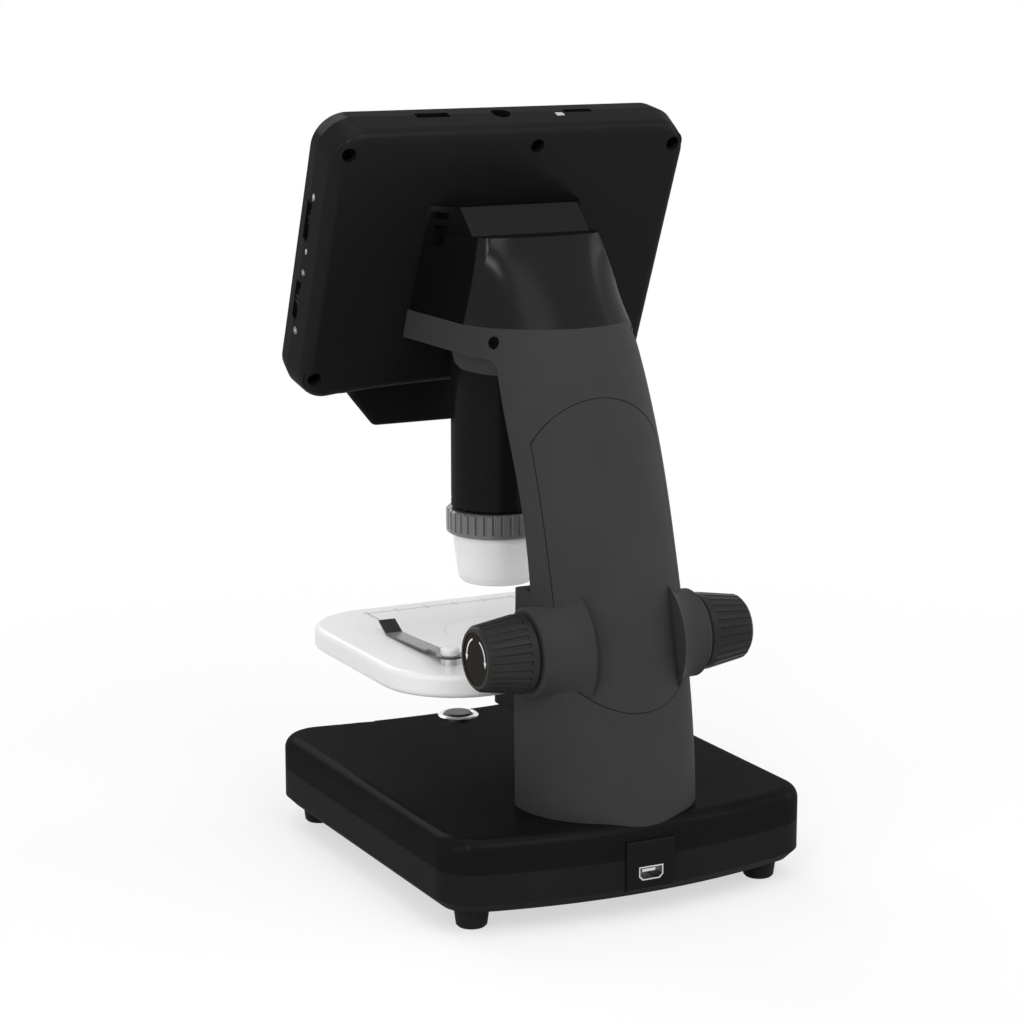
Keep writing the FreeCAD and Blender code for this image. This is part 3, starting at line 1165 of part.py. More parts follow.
def make_housing_fittings():
    screws = []
    cross_d = WELL_DEPTH - 1
    for x, z in screw_places():
        head = depth_rod(x, z, WELL_DEPTH - 1.6, CASE_SCREW_HEAD_R, 1.6)
        cross = depth_box(x - 1.3, x + 1.3, 0, cross_d, z - SCREW_CROSS, z + SCREW_CROSS)
        cross = cross.fuse(depth_box(x - SCREW_CROSS, x + SCREW_CROSS, 0, cross_d, z - 1.3, z + 1.3))
        screws.append(lean(head.cut(cross).fuse(depth_rod(x, z, WELL_DEPTH, CASE_SCREW_R, CASE_SCREW_L))))
    save("rear_screws", *screws)

    board = depth_box(-BOARD_HALF_W, BOARD_HALF_W, BOARD_DEPTH, BOARD_FRONT, BOARD_BOTTOM, BOARD_TOP)
    board = board.cut(depth_rod(WELL_MID_X, WELL_MID_Z, 0, CASE_BOSS_R + RUN_GAP, 20))
    save("main_board", lean(board))

    mid = LCD_SPLIT
    deep = 2 * mid - BOARD_FRONT
    low = SOCKET_LOW
    top = SOCKET_TOP
    cable = depth_box(CABLE_X0 - 0.8, CABLE_X1 + 0.8, BOARD_FRONT, deep, low, top)
    cable = cable.cut(depth_box(CABLE_X0 + 0.4, CABLE_X1 - 0.4, mid - 1.2, mid + 1.2, low + 2, FAR))
    tongue = depth_box(CABLE_X0 + 1.6, CABLE_X1 - 1.6, mid - 0.2, mid + 0.5, low + 1, top - 1)
    save("cable_socket", lean(cable.fuse(tongue)))
    jack = depth_box(JACK_X - JACK_BODY_R, JACK_X + JACK_BODY_R, BOARD_FRONT, deep, low, top)
    save("av_jack", lean(jack.cut(rod(JACK_X, -mid, low + 1, JACK_BORE_R, FAR))))
    card = depth_box(CARD_X0 - 1.2, CARD_X1 + 1.2, BOARD_FRONT, mid + 1.6, low, top)
    card = card.cut(depth_box(CARD_X0 + 0.3, CARD_X1 - 0.3, mid - 0.5, mid + 0.5, low + 1.5, FAR))
    save("card_slot", lean(card))

    pots = []
    x = WHEEL_X
    wheel_d = mid - WHEEL_T / 2
    pot_d = wheel_d - RUN_GAP
    for name, z in (("upper_thumb_wheel", WHEEL_UPPER_Z), ("lower_thumb_wheel", WHEEL_LOWER_Z)):
        wheel = depth_rod(x, z, wheel_d, WHEEL_R, WHEEL_T)
        wheel = wheel.cut(depth_rod(x, z, wheel_d - 1, WHEEL_PIN_R + SHAFT_GAP, WHEEL_T + 2))
        notches = []
        for k in range(WHEEL_NOTCHES):
            angle = 2 * math.pi * k / WHEEL_NOTCHES
            at_x = x + WHEEL_R * math.cos(angle)
            notches.append(depth_rod(at_x, z + WHEEL_R * math.sin(angle), wheel_d - 1, 0.4, WHEEL_T + 2))
        save(name, lean(wheel.cut(notches)))
        pot = depth_box(x - 4.5, x + 3.5, LCD_WALL, pot_d, z - 4, z + 4)
        pin = depth_rod(x, z, pot_d - 0.5, WHEEL_PIN_R, WHEEL_T + RUN_GAP + 1)
        collar = depth_rod(x, z, pot_d - 0.5, 2.0, 0.5 + RUN_GAP - SHAFT_GAP)
        pots.append(lean(pot.fuse([pin, collar])))
    save("wheel_pots", *pots)


os.makedirs("parts", exist_ok=True)
make_base_shells()
make_base_fittings()
make_power_button()
make_column()
make_front_cover()
make_focus_drive()
make_carriage()
make_stage()
make_clips()
make_barrel()
make_rear_shell()
make_front_bezel()
make_housing_fittings()
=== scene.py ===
import math

import bmesh
import bpy
from mathutils import Matrix, Vector
from mathutils.bvhtree import BVHTree


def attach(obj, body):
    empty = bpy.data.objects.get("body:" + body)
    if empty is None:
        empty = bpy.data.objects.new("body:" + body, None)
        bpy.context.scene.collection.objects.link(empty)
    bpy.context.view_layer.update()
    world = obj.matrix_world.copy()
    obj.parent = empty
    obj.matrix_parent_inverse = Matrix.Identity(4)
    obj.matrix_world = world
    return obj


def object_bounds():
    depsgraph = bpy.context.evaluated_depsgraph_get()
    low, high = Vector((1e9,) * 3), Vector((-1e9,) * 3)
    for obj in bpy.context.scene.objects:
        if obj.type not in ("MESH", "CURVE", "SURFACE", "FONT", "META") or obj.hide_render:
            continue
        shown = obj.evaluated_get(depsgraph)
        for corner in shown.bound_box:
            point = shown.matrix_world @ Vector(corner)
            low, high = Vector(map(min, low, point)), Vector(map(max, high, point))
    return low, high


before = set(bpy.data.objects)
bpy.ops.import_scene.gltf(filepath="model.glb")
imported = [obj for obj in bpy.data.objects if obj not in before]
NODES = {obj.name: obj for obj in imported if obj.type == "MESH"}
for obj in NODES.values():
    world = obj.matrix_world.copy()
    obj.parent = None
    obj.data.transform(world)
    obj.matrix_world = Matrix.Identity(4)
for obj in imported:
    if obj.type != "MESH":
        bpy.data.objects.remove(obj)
cad_low, cad_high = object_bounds()
MM = 0.001

# The screen housing leans back by this angle, about this point.
LEAN = math.radians(22)
HOUSING_POINT = Vector((0, -26.87 * MM, 174 * MM))

# The photograph's camera.
CAMERA_PLACE = (0.37425, 0.71699, 0.26937)
CAMERA_TURN = (math.radians(78.38), 0, math.radians(152.94))
CAMERA_LENS = 99.14
CAMERA_SENSOR = 36.0

WHITE = (1, 1, 1, 1)


# ---- camera ----

camera_data = bpy.data.cameras.new("photo_camera")
camera_data.lens = CAMERA_LENS
camera_data.sensor_width = CAMERA_SENSOR
camera_data.clip_start = 0.01
camera_data.clip_end = 100
camera = bpy.data.objects.new("photo_camera", camera_data)
camera.location = CAMERA_PLACE
camera.rotation_euler = CAMERA_TURN
bpy.context.scene.collection.objects.link(camera)
bpy.context.scene.camera = camera
bpy.context.scene.view_settings.view_transform = "Standard"


# ---- node helpers ----

class Tree:
    """A material's node tree with short calls for what every material here needs."""

    TITLES = {"ior": "IOR", "specular": "Specular IOR Level"}

    def __init__(self, name):
        self.material = bpy.data.materials.new(name)
        self.material.use_nodes = True
        self.nodes = self.material.node_tree.nodes
        self.links = self.material.node_tree.links
        self.nodes.clear()
        self.out = self.nodes.new("ShaderNodeOutputMaterial")
        self.shader = self.nodes.new("ShaderNodeBsdfPrincipled")
        self.links.new(self.shader.outputs["BSDF"], self.out.inputs["Surface"])
        self.place = self.nodes.new("ShaderNodeTexCoord").outputs["Object"]

    def put(self, socket, value):
        """Links a socket, or sets a plain value."""
        if isinstance(value, bpy.types.NodeSocket):
            self.links.new(value, socket)
        else:
            socket.default_value = value

    def set(self, **values):
        """Sets inputs of the shader: coat_weight is its Coat Weight."""
        for key, value in values.items():
            title = self.TITLES.get(key, key.replace("_", " ").title())
            self.put(self.shader.inputs[title], value)
        return self

    def noise(self, scale, detail=3.0, rough=0.5, place=None, stretch=None):
        """Noise from 0 to 1; scale is in cells per metre."""
        if stretch:
            place = self.mapped(place or self.place, scale=stretch)
        node = self.nodes.new("ShaderNodeTexNoise")
        self.put(node.inputs["Vector"], place or self.place)
        node.inputs["Scale"].default_value = scale
        node.inputs["Detail"].default_value = detail
        node.inputs["Roughness"].default_value = rough
        return node.outputs["Fac"]

    def cells(self, scale, place=None, feature="F1"):
        node = self.nodes.new("ShaderNodeTexVoronoi")
        node.feature = feature
        self.put(node.inputs["Vector"], place or self.place)
        node.inputs["Scale"].default_value = scale
        return node.outputs["Distance"]

    def mapped(self, place, move=(0, 0, 0), turn=(0, 0, 0), scale=(1, 1, 1)):
        node = self.nodes.new("ShaderNodeMapping")
        self.put(node.inputs["Vector"], place)
        node.inputs["Location"].default_value = move
        node.inputs["Rotation"].default_value = turn
        node.inputs["Scale"].default_value = scale
        return node.outputs["Vector"]

    def parts(self, place=None):
        node = self.nodes.new("ShaderNodeSeparateXYZ")
        self.put(node.inputs[0], place or self.place)
        return node.outputs

    def math(self, kind, a, b=0.0, clamp=False):
        node = self.nodes.new("ShaderNodeMath")
        node.operation = kind
        node.use_clamp = clamp
        self.put(node.inputs[0], a)
        self.put(node.inputs[1], b)
        return node.outputs[0]

    def spread(self, value, low, high, start=0.0, end=1.0):
        """Maps start..end to low..high, held at both ends."""
        node = self.nodes.new("ShaderNodeMapRange")
        self.put(node.inputs["Value"], value)
        node.inputs["From Min"].default_value = start
        node.inputs["From Max"].default_value = end
        node.inputs["To Min"].default_value = low
        node.inputs["To Max"].default_value = high
        return node.outputs["Result"]

    def mix(self, amount, a, b):
        """A colour between a and b."""
        node = self.nodes.new("ShaderNodeMix")
        node.data_type = "RGBA"
        self.put(node.inputs[0], amount)
        self.put(node.inputs[6], a)
        self.put(node.inputs[7], b)
        return node.outputs[2]

    def blend(self, amount, a, b):
        """A number between a and b."""
        node = self.nodes.new("ShaderNodeMix")
        node.data_type = "FLOAT"
        self.put(node.inputs[0], amount)
        self.put(node.inputs[2], a)
        self.put(node.inputs[3], b)
        return node.outputs[0]

    def bump(self, height, depth_mm, strength=1.0, under=None):
        node = self.nodes.new("ShaderNodeBump")
        self.put(node.inputs["Height"], height)
        node.inputs["Distance"].default_value = depth_mm * MM
        node.inputs["Strength"].default_value = strength
        if under is not None:
            self.links.new(under, node.inputs["Normal"])
        return node.outputs["Normal"]

    def housing_place(self):
        """Object coordinates turned into the leaning screen housing's own axes."""
        turned = Matrix.Rotation(LEAN, 3, "X") @ -HOUSING_POINT
        return self.mapped(self.place, move=tuple(turned), turn=(LEAN, 0, 0))


def grey(level, warm=0.0):
    """A linear grey; warm tints it towards red and away from blue."""
    return (level * (1 + warm), level, level * (1 - warm), 1)


def moulded(name, dark, light, rough, grain=1500, grain_mm=0.012, warm=0.0, **shader):
    """Injection moulded plastic: fine spark grain, slow tone drift, and smoother worn spots."""
    t = Tree(name)
    drift = t.noise(38, 4, 0.55)
    t.set(base_color=t.mix(t.spread(drift, 0, 1, 0.3, 0.7), grey(dark, warm), grey(light, warm)))
    handled = t.spread(t.noise(16, 3, 0.6), rough * 0.86, rough * 1.14, 0.32, 0.68)
    t.set(roughness=handled, normal=t.bump(t.noise(grain, 2, 0.6), grain_mm, 0.6))
    t.set(**shader)
    return t


# ---- materials ----

def black_shell(name, rough=0.40, level=0.0085, coat=0.14):
    """Near-black moulding whose gloss is a thin even skin, so that it stays dark at low angles."""
    t = moulded(name, level * 0.85, level * 1.15, rough, specular=0.0, coat_weight=coat)
    t.set(coat_roughness=t.spread(t.noise(16, 3, 0.6), rough * 0.55, rough * 0.75, 0.32, 0.68))
    return t


def housing_material():
    """Satin housing back; the neck that stands behind it is polished."""
    t = black_shell("housing_plastic", 0.42, 0.0085, 0.12)
    behind = t.parts(t.housing_place())["Y"]
    neck = t.spread(behind, 0, 1, 0.3 * MM, 0.9 * MM)
    satin = t.spread(t.noise(16, 3, 0.6), 0.24, 0.31, 0.32, 0.68)
    polished = t.spread(t.noise(22, 3, 0.6), 0.17, 0.20, 0.32, 0.68)
    t.set(coat_weight=t.blend(neck, 0.13, 0.28), coat_roughness=t.blend(neck, satin, polished))
    t.set(base_color=t.mix(neck, grey(0.0088), grey(0.0042)))
    return t.material


def rubber_material(name, level, rough=0.66, grain_mm=0.02):
    """Soft-touch coating: matt, with a fine even pebble and faint handling marks."""
    t = Tree(name)
    drift = t.noise(30, 5, 0.6)
    t.set(base_color=t.mix(t.spread(drift, 0, 1, 0.3, 0.7), grey(level * 0.9), grey(level * 1.1)))
    t.set(roughness=t.spread(t.noise(12, 4, 0.6), rough - 0.05, rough + 0.06, 0.3, 0.7))
    pebble = t.math("ADD", t.cells(1100), t.noise(2400, 2, 0.5))
    t.set(normal=t.bump(pebble, grain_mm, 0.5), specular=0.05, sheen_weight=0.02, sheen_roughness=0.6)
    return t.material


def white_material(name, level, rough=0.34, glow=0.12, warm=0.0):
    t = moulded(name, level * 0.98, level * 1.015, rough, 1300, 0.006, warm, specular=0.4)
    t.set(subsurface_weight=glow, subsurface_scale=1.0)
    t.set(subsurface_radius=(2.5 * MM, 2.3 * MM, 2.0 * MM))
    return t.material


def steel_material(name, level, rough=0.28, along=(1, 12, 12)):
    """Bright or blackened steel with fine lines from turning or rolling."""
    t = Tree(name)
    lines = t.noise(900, 4, 0.6, stretch=along)
    t.set(base_color=t.mix(t.noise(60, 3, 0.5), grey(level * 0.92), grey(level)))
    t.set(metallic=1.0, roughness=t.spread(lines, rough - 0.06, rough + 0.09, 0.3, 0.7))
    t.set(normal=t.bump(lines, 0.004, 0.5))
    return t.material


def painted_steel_material():
    """Black stoved paint on spring steel, thin and bare along handled spots."""
    t = Tree("clip_paint")
    wear = t.spread(t.noise(260, 5, 0.65), 0, 1, 0.66, 0.74)
    t.set(base_color=t.mix(wear, grey(0.022), grey(0.05)))
    t.set(roughness=t.spread(t.noise(90), 0.24, 0.34, 0.3, 0.7))
    t.set(normal=t.bump(t.noise(1500, 3), 0.01, 0.5))
    t.set(specular=0.5, coat_weight=0.35, coat_roughness=0.2)
    return t.material


def brass_material():
    t = Tree("bearing_brass")
    t.set(base_color=t.mix(t.noise(300, 4), (0.55, 0.38, 0.14, 1), (0.68, 0.49, 0.2, 1)))
    lines = t.noise(1200, 3, 0.6, stretch=(1, 14, 14))
    t.set(metallic=1.0, roughness=t.spread(lines, 0.22, 0.36, 0.3, 0.7), normal=t.bump(lines, 0.004))
    return t.material


def board_material(name, mask, copper):
    """Laminate under solder mask, with tracks that stand a little proud and small pads."""
    t = Tree(name)
    x, y, z = (t.parts()[k] for k in "XYZ")
    flow = t.math("ADD", t.math("ADD", x, y), z)
    track = t.math("LESS_THAN", t.math("FRACT", t.math("MULTIPLY", flow, 620)), 0.4)
    live = t.math("MULTIPLY", track, t.spread(t.noise(210, 1), 0, 1, 0.5, 0.52))
    pads = t.math("LESS_THAN", t.cells(520), 0.16)
    t.set(base_color=t.mix(pads, t.mix(live, mask, [m * 1.5 for m in mask[:3]] + [1]), copper))
    t.set(roughness=t.spread(t.noise(300), 0.28, 0.4, 0.3, 0.7))
    t.set(normal=t.bump(live, 0.03), specular=0.5)
    return t.material


def ring_material():
    """Smoky clear plastic of the magnification ring."""
    t = moulded("ring_plastic", 0.13, 0.18, 0.24, 900, 0.006, specular=0.5)
    t.set(transmission_weight=0.25, ior=1.49, coat_weight=0.3, coat_roughness=0.12)
    return t.material


def glass_material(name, tint, rough, clear=1.0):
    t = Tree(name)
    smear = t.noise(45, 5, 0.6)
    t.set(base_color=t.mix(t.spread(smear, 0, 1, 0.3, 0.7), tint, [c * 0.97 for c in tint[:3]] + [1]))
    t.set(roughness=t.spread(smear, rough, rough + 0.03, 0.4, 0.75), transmission_weight=clear, ior=1.5)
    return t.material


def window_material():
    """Cover glass: clear over the picture, with a black print round it."""
    t = Tree("window_glass")
    x, y, z = (t.parts(t.housing_place())[k] for k in "XYZ")
    in_x = t.math("LESS_THAN", t.math("ABSOLUTE", x), 35.6 * MM)
    in_z = t.math("LESS_THAN", t.math("ABSOLUTE", t.math("SUBTRACT", z, 8.0 * MM)), 26.6 * MM)
    clear = t.math("MULTIPLY", in_x, in_z)
    smear = t.noise(40, 5, 0.6)
    t.set(base_color=t.mix(clear, grey(0.004), (0.75, 0.77, 0.8, 1)), transmission_weight=clear)
    t.set(roughness=t.spread(smear, 0.03, 0.08, 0.4, 0.75), ior=1.5)
    return t.material


def panel_material():
    """The display behind the glass, switched off: a dark blue-grey picture area in a metal frame."""
    t = Tree("screen_module")
    x, y, z = (t.parts(t.housing_place())[k] for k in "XYZ")
    in_column, in_row = (
        t.math("LESS_THAN", t.math("FRACT", t.math("MULTIPLY", way, 4400)), 0.85) for way in (x, z)
    )
    dots = t.math("MULTIPLY", in_column, in_row)
    t.set(base_color=t.mix(dots, (0.004, 0.004, 0.005, 1), (0.012, 0.014, 0.018, 1)))
    t.set(roughness=t.spread(t.noise(60), 0.2, 0.28, 0.3, 0.7), specular=0.5)
    return t.material


def led_material():
    """White LED package: yellow phosphor in the middle of a clear dome."""
    t = Tree("led")
    mottled = t.noise(1800, 2)
    t.set(base_color=t.mix(mottled, (0.86, 0.74, 0.3, 1), (0.9, 0.82, 0.48, 1)))
    t.set(roughness=t.spread(mottled, 0.1, 0.2), coat_weight=0.8, coat_roughness=0.05)
    return t.material


def cap_material():
    """The knob's end disc: glossy, dark brown-black, with faint radial polish."""
    t = Tree("cap_plastic")
    drift = t.noise(180, 4, 0.6)
    t.set(base_color=t.mix(drift, (0.0165, 0.0125, 0.0095, 1), (0.021, 0.016, 0.0125, 1)))
    t.set(roughness=t.spread(t.noise(700, 3), 0.12, 0.2, 0.3, 0.7), specular=0.0)
    t.set(coat_weight=0.08, coat_roughness=0.08, normal=t.bump(t.noise(1500, 2), 0.002))
    return t.material


def ink_material(name, level):
    """Pad-printed ink: slightly uneven and thinner in places."""
    t = Tree(name)
    thin = t.noise(2500, 3, 0.6)
    t.set(base_color=t.mix(t.spread(thin, 0, 1, 0.35, 0.65), grey(level * 0.86), grey(level)))
    t.set(roughness=t.spread(thin, 0.45, 0.6), specular=0.3, normal=t.bump(thin, 0.004))
    return t.material


LOOKS = {
    "base_upper_shell": black_shell("base_plastic", 0.34, 0.0065, 0.06).material,
    # The lower shell is the same black plastic as the upper shell. Its lighter colour is a painted
    # highlight for the floor reflected along its bottom lip, while its stronger coat gives real gloss.
    "base_lower_shell": black_shell("base_lower_plastic_painted_highlight", 0.36, 0.0095, 0.10).material,
    "lcd_rear_shell": housing_material(),
    "lcd_front_bezel": black_shell("bezel_plastic", 0.36, 0.0075, 0.10).material,
    "column_shell": rubber_material("column_rubber", 0.033),
    "rear_inlay_panel": rubber_material("inlay_rubber", 0.033),
    "column_front_cover": rubber_material("cover_rubber", 0.034),
    "rubber_feet": rubber_material("foot_rubber", 0.014, 0.7, 0.03),
    "port_panel": moulded("panel_plastic", 0.006, 0.008, 0.5, 1900, 0.02, specular=0.05).material,
    "barrel_tube": black_shell("barrel_plastic", 0.30, 0.0075, 0.12).material,
    "lens_cell": black_shell("cell_plastic", 0.5, 0.01, 0.0).material,
    "magnification_ring": ring_material(),
    "light_shroud": white_material("shroud_plastic", 0.90, 0.26, 0.3),
    "stage_plate": white_material("stage_white", 0.76, 0.33, 0.1),
    "stage_under_cover": white_material("white_plastic", 0.78, 0.4, 0.1),
    "clip_caps": white_material("clip_cap_plastic", 0.74, 0.4, 0.1),
    "stage_diffuser": white_material("diffuser_plastic", 0.84, 0.5, 0.35),
    "stage_carriage": moulded("carriage_plastic", 0.007, 0.010, 0.45, specular=0.05).material,
    "left_focus_knob": moulded("knob_plastic", 0.018, 0.024, 0.36, 1600, 0.01, 0.02,
                               specular=0.06).material,
    "left_knob_cap": cap_material(),
    "upper_thumb_wheel": moulded("wheel_plastic", 0.007, 0.010, 0.45, specular=0.05).material,
    "left_stage_clip": painted_steel_material(),
    "rear_screws": steel_material("dark_steel", 0.004, 0.5),
    "base_screws": steel_material("bright_steel", 0.62),
    "shaft_bushes": brass_material(),
    "focus_rack": moulded("gear_plastic", 0.66, 0.72, 0.35, 1200, 0.006, 0.03, specular=0.45).material,
    "main_board": board_material("board", (0.006, 0.06, 0.02, 1), (0.62, 0.5, 0.22, 1)),
    "led_ring_board": board_material("board_white", (0.7, 0.7, 0.68, 1), (0.6, 0.55, 0.4, 1)),
    "leds": led_material(),
    "usb_socket": steel_material("socket_metal", 0.66, 0.22, along=(1, 6, 1)),
    "av_jack": moulded("socket_plastic", 0.008, 0.011, 0.4, specular=0.3).material,
    "lens": glass_material("lens_glass", (0.93, 0.95, 0.97, 1), 0.01),
    "chin_button_1": moulded("button_plastic", 0.02, 0.026, 0.4, specular=0.3).material,
    "power_button_ring": steel_material("button_ring", 0.75, 0.16),
    "screen_window": window_material(),
    "lcd_module": panel_material(),
}
SAME_AS = {
    "left_focus_knob": ("right_focus_knob",),
    "left_knob_cap": ("right_knob_cap",),
    "upper_thumb_wheel": ("lower_thumb_wheel",),
    "left_stage_clip": ("right_stage_clip",),
    "rear_screws": ("collar_screws",),
    "base_screws": ("ballast_plate", "slide_rails", "focus_shaft", "stage_screws", "clip_posts"),
    "shaft_bushes": ("pinion",),
    "focus_rack": ("friction_washers",),
    "main_board": ("power_board", "sensor_board"),
    "led_ring_board": ("light_board",),
    "usb_socket": ("cable_socket", "card_slot"),
    "av_jack": ("wheel_pots",),
    "chin_button_1": ("chin_button_2", "chin_button_3", "chin_button_4", "chin_button_5",
                      "power_button"),
}


def dress(node, material):
    slots = NODES[node].data.materials
    slots.clear()
    slots.append(material)


for first, material in LOOKS.items():
    for node in (first, *SAME_AS.get(first, ())):
        dress(node, material)


# ---- printed marks ----

STAMP_START = 0.03  # metres outside the surface, where the rays that find it start
SURFACES = {}


def surface_of(node):
    if node not in SURFACES:
        mesh = NODES[node].data
        corners = [v.co for v in mesh.vertices]
        SURFACES[node] = BVHTree.FromPolygons(corners, [p.vertices[:] for p in mesh.polygons])
    return SURFACES[node]


def make_piece(name, bm, material, body):
    """Turns mesh data into a piece that rides on a body."""
    mesh = bpy.data.meshes.new(name)
    bm.to_mesh(mesh)
    bm.free()
    mesh.materials.append(material)
    piece = bpy.data.objects.new(name, mesh)
    bpy.context.scene.collection.objects.link(piece)
    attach(piece, body)


def stamp(name, node, body, centre, across, up, outlines, material, lift=0.03, sink=0.08):
    """Thin raised print on a node's surface.

    Outlines are closed rings of (across, up) points about centre, in millimetres, seen from outside.
    """
    across, up = Vector(across).normalized(), Vector(up).normalized()
    out = across.cross(up).normalized()
    surface = surface_of(node)
    bm = bmesh.new()
    for outline in outlines:
        tops, bottoms = [], []
        for a, b in outline:
            start = Vector(centre) * MM + across * a * MM + up * b * MM + out * STAMP_START
            hit = surface.ray_cast(start, -out)[0]
            tops.append(bm.verts.new(hit + out * lift * MM))
            bottoms.append(bm.verts.new(hit - out * sink * MM))
        bm.faces.new(tops)
        bm.faces.new(bottoms[::-1])
        for k in range(len(tops)):
            j = (k + 1) % len(tops)
            bm.faces.new((tops[k], bottoms[k], bottoms[j], tops[j]))
    bmesh.ops.recalc_face_normals(bm, faces=bm.faces)
    make_piece(name, bm, material, body)


def bar(x0, y0, x1, y1, width):
    """A straight stroke as a ring of four points."""
    along = Vector((x1 - x0, y1 - y0)).normalized() * width / 2
    side = Vector((-along.y, along.x))
    a, b = Vector((x0, y0)), Vector((x1, y1))
    return [tuple(a - side), tuple(b - side), tuple(b + side), tuple(a + side)]


def disc(x, y, radius, points=20):
    turn = 2 * math.pi / points
    return [(x + radius * math.cos(k * turn), y + radius * math.sin(k * turn)) for k in range(points)]


def arc_strip(radius, width, start, end, pieces):
    """Short strokes end to end along an arc, angles in degrees."""
    rings = []
    for k in range(pieces):
        a, b = (math.radians(start + (end - start) * (k + s) / pieces) for s in (0, 1))
        inner, outer = radius - width / 2, radius + width / 2
        places = ((inner, a), (outer, a), (outer, b), (inner, b))
        ring = [(r * math.cos(q), r * math.sin(q)) for r, q in places]
        rings.append(ring if end > start else ring[::-1])
    return rings


def arrow_head(radius, angle, heading, length, width):
    """A triangle on the arc at an angle, pointing along it; heading is 1 or -1."""
    q = math.radians(angle)
    at = Vector((radius * math.cos(q), radius * math.sin(q)))
    along = Vector((-math.sin(q), math.cos(q))) * heading
    side = Vector((along.y, -along.x)) * width / 2
    return [tuple(at + along * length), tuple(at + side), tuple(at - side)]


INK_WHITE = ink_material("ink_white", 0.8)
INK_GREY = ink_material("ink_grey", 0.34)
INK_DIM = ink_material("ink_dim", 0.45)

# Stage ruler: one long line with ticks, and a short one at right angles by its left end.
RULER_PLACE = (0, -62.0, 62.0)
RULER_HALF = 28.6
RULER_SHORT = 1.2
RULER_ZERO = 26.6
RULER_TENS = 5
FINE = 0.22
FINER = 0.15
marks = [bar(-RULER_HALF + RULER_SHORT, 0, RULER_HALF, 0, FINE)]
for k in range(10 * RULER_TENS + 1):
    x = RULER_ZERO - k
    reach = 2.2 if k % 10 == 0 else 1.0 if k % 5 == 0 else 0.6
    marks.append(bar(x, -reach if k % 10 == 0 else 0, x, reach, FINE if k % 10 == 0 else FINER))
marks.append(bar(RULER_ZERO, -1.3, RULER_ZERO, 12.2, FINE))
for k in range(1, 13):
    reach = 2.0 if k % 10 == 0 else 1.1 if k % 5 == 0 else 0.6
    marks.append(bar(RULER_ZERO, k, RULER_ZERO + reach, k, FINER))
stamp("stage_ruler", "stage_plate", "stage", RULER_PLACE, (1, 0, 0), (0, 1, 0), marks, INK_GREY)

# Turning arrows on both knob ends.
ARROW_R = 5.6
for side, name in ((1, "left"), (-1, "right")):
    arrows = []
    for start, end in ((112, 178), (68, 2)):
        heading = 1 if end > start else -1
        arrows += arc_strip(ARROW_R, 0.5, start, end, 10)
        arrows.append(arrow_head(ARROW_R, end, heading, 1.7, 1.5))
    stamp(name + "_knob_arrows", name + "_knob_cap", "focus_knobs", (side * 41.9, 44.6, 73.9),
          (0, side, 0), (0, 0, 1), arrows, INK_WHITE)

# Index dot on the barrel, just above the ring.
dot_side = Vector((0.93, -0.36, 0)).normalized()
dot_across = Vector((0, 0, 1)).cross(dot_side)
stamp("barrel_index_dot", "barrel_tube", "stand", Vector((0, -25.6, 103.4)) + dot_side * 20,
      dot_across, (0, 0, 1), [disc(0, 0, 0.62)], INK_WHITE)


def in_housing(x, y, z):
    """A point in the housing's own axes, turned into the whole object's, in millimetres."""
    return Matrix.Rotation(-LEAN, 3, "X") @ Vector((x, y, z)) + HOUSING_POINT / MM


HOUSING_UP = Matrix.Rotation(-LEAN, 3, "X") @ Vector((0, 0, 1))
HOUSING_BACK = Matrix.Rotation(-LEAN, 3, "X") @ Vector((0, 1, 0))


def lamp_sign(x, y, s):
    """A desk lamp: a shade over a short foot. s is its scale: it is 2.45 mm high at 1."""
    low, high = y - 0.5 * s, y + 1.1 * s
    shade = [(x - 0.9 * s, low), (x + 0.9 * s, low), (x + 0.35 * s, high), (x - 0.35 * s, high)]
    stem = bar(x, y - 1.1 * s, x, low, 0.4 * s)
    foot = bar(x - 0.5 * s, y - 1.2 * s, x + 0.5 * s, y - 1.2 * s, 0.3 * s)
    return [shade, stem, foot]


def sun_sign(x, y, s):
    rays = [bar(x + 0.85 * s * math.cos(q), y + 0.85 * s * math.sin(q),
                x + 1.3 * s * math.cos(q), y + 1.3 * s * math.sin(q), 0.3 * s)
            for q in (k * math.pi / 4 for k in range(8))]
    return [disc(x, y, 0.6 * s, 16)] + rays


side_signs = lamp_sign(0, 19.7, 0.85) + lamp_sign(0, 2.2, 0.7)
side_signs += sun_sign(0, -4.7, 0.75) + sun_sign(0, -23.8, 0.9)
stamp("housing_side_signs", "lcd_rear_shell", "stand", in_housing(58.3, -8.1, 0),
      HOUSING_BACK, HOUSING_UP, side_signs, INK_DIM)

# A memory card's outline, printed beside its slot.
card_sign = [[(-1.3, -0.9), (1.3, -0.9), (1.3, 0.4), (0.7, 0.9), (-1.3, 0.9)]]
stamp("housing_card_sign", "lcd_rear_shell", "stand", in_housing(-17.0, -8.0, 44.5),
      (-1, 0, 0), -HOUSING_BACK, card_sign, INK_DIM)


# ---- corners of the screen housing ----

# Sizes in the housing's own axes, in millimetres. A skin lies over each corner.
HOUSING_TAPER = 1.0
BOTTOM_SLOPE = 0.121
SIDE_LENGTH = 87.6
SKIN_RUN = 15.0
SKIN_FLAT = 7.0
SKIN_LIFT = 0.015
WELL = (52.5, 36.4, 2.15, 1.95)
WELL_MARGIN = 0.6
MERGE = 0.0005
CREASE = math.radians(35)
STRAIGHT_STEPS = 14
ROUND_STEPS = 60
FLAT_STEPS = 32
EDGE_STEPS = 18
WALL_STEPS = 6


def turned_between(a, b, share):
    """The direction that lies a share of the way round from a to b."""
    whole = a.angle(b)
    return (a * math.sin((1 - share) * whole) + b * math.sin(share * whole)).normalized()


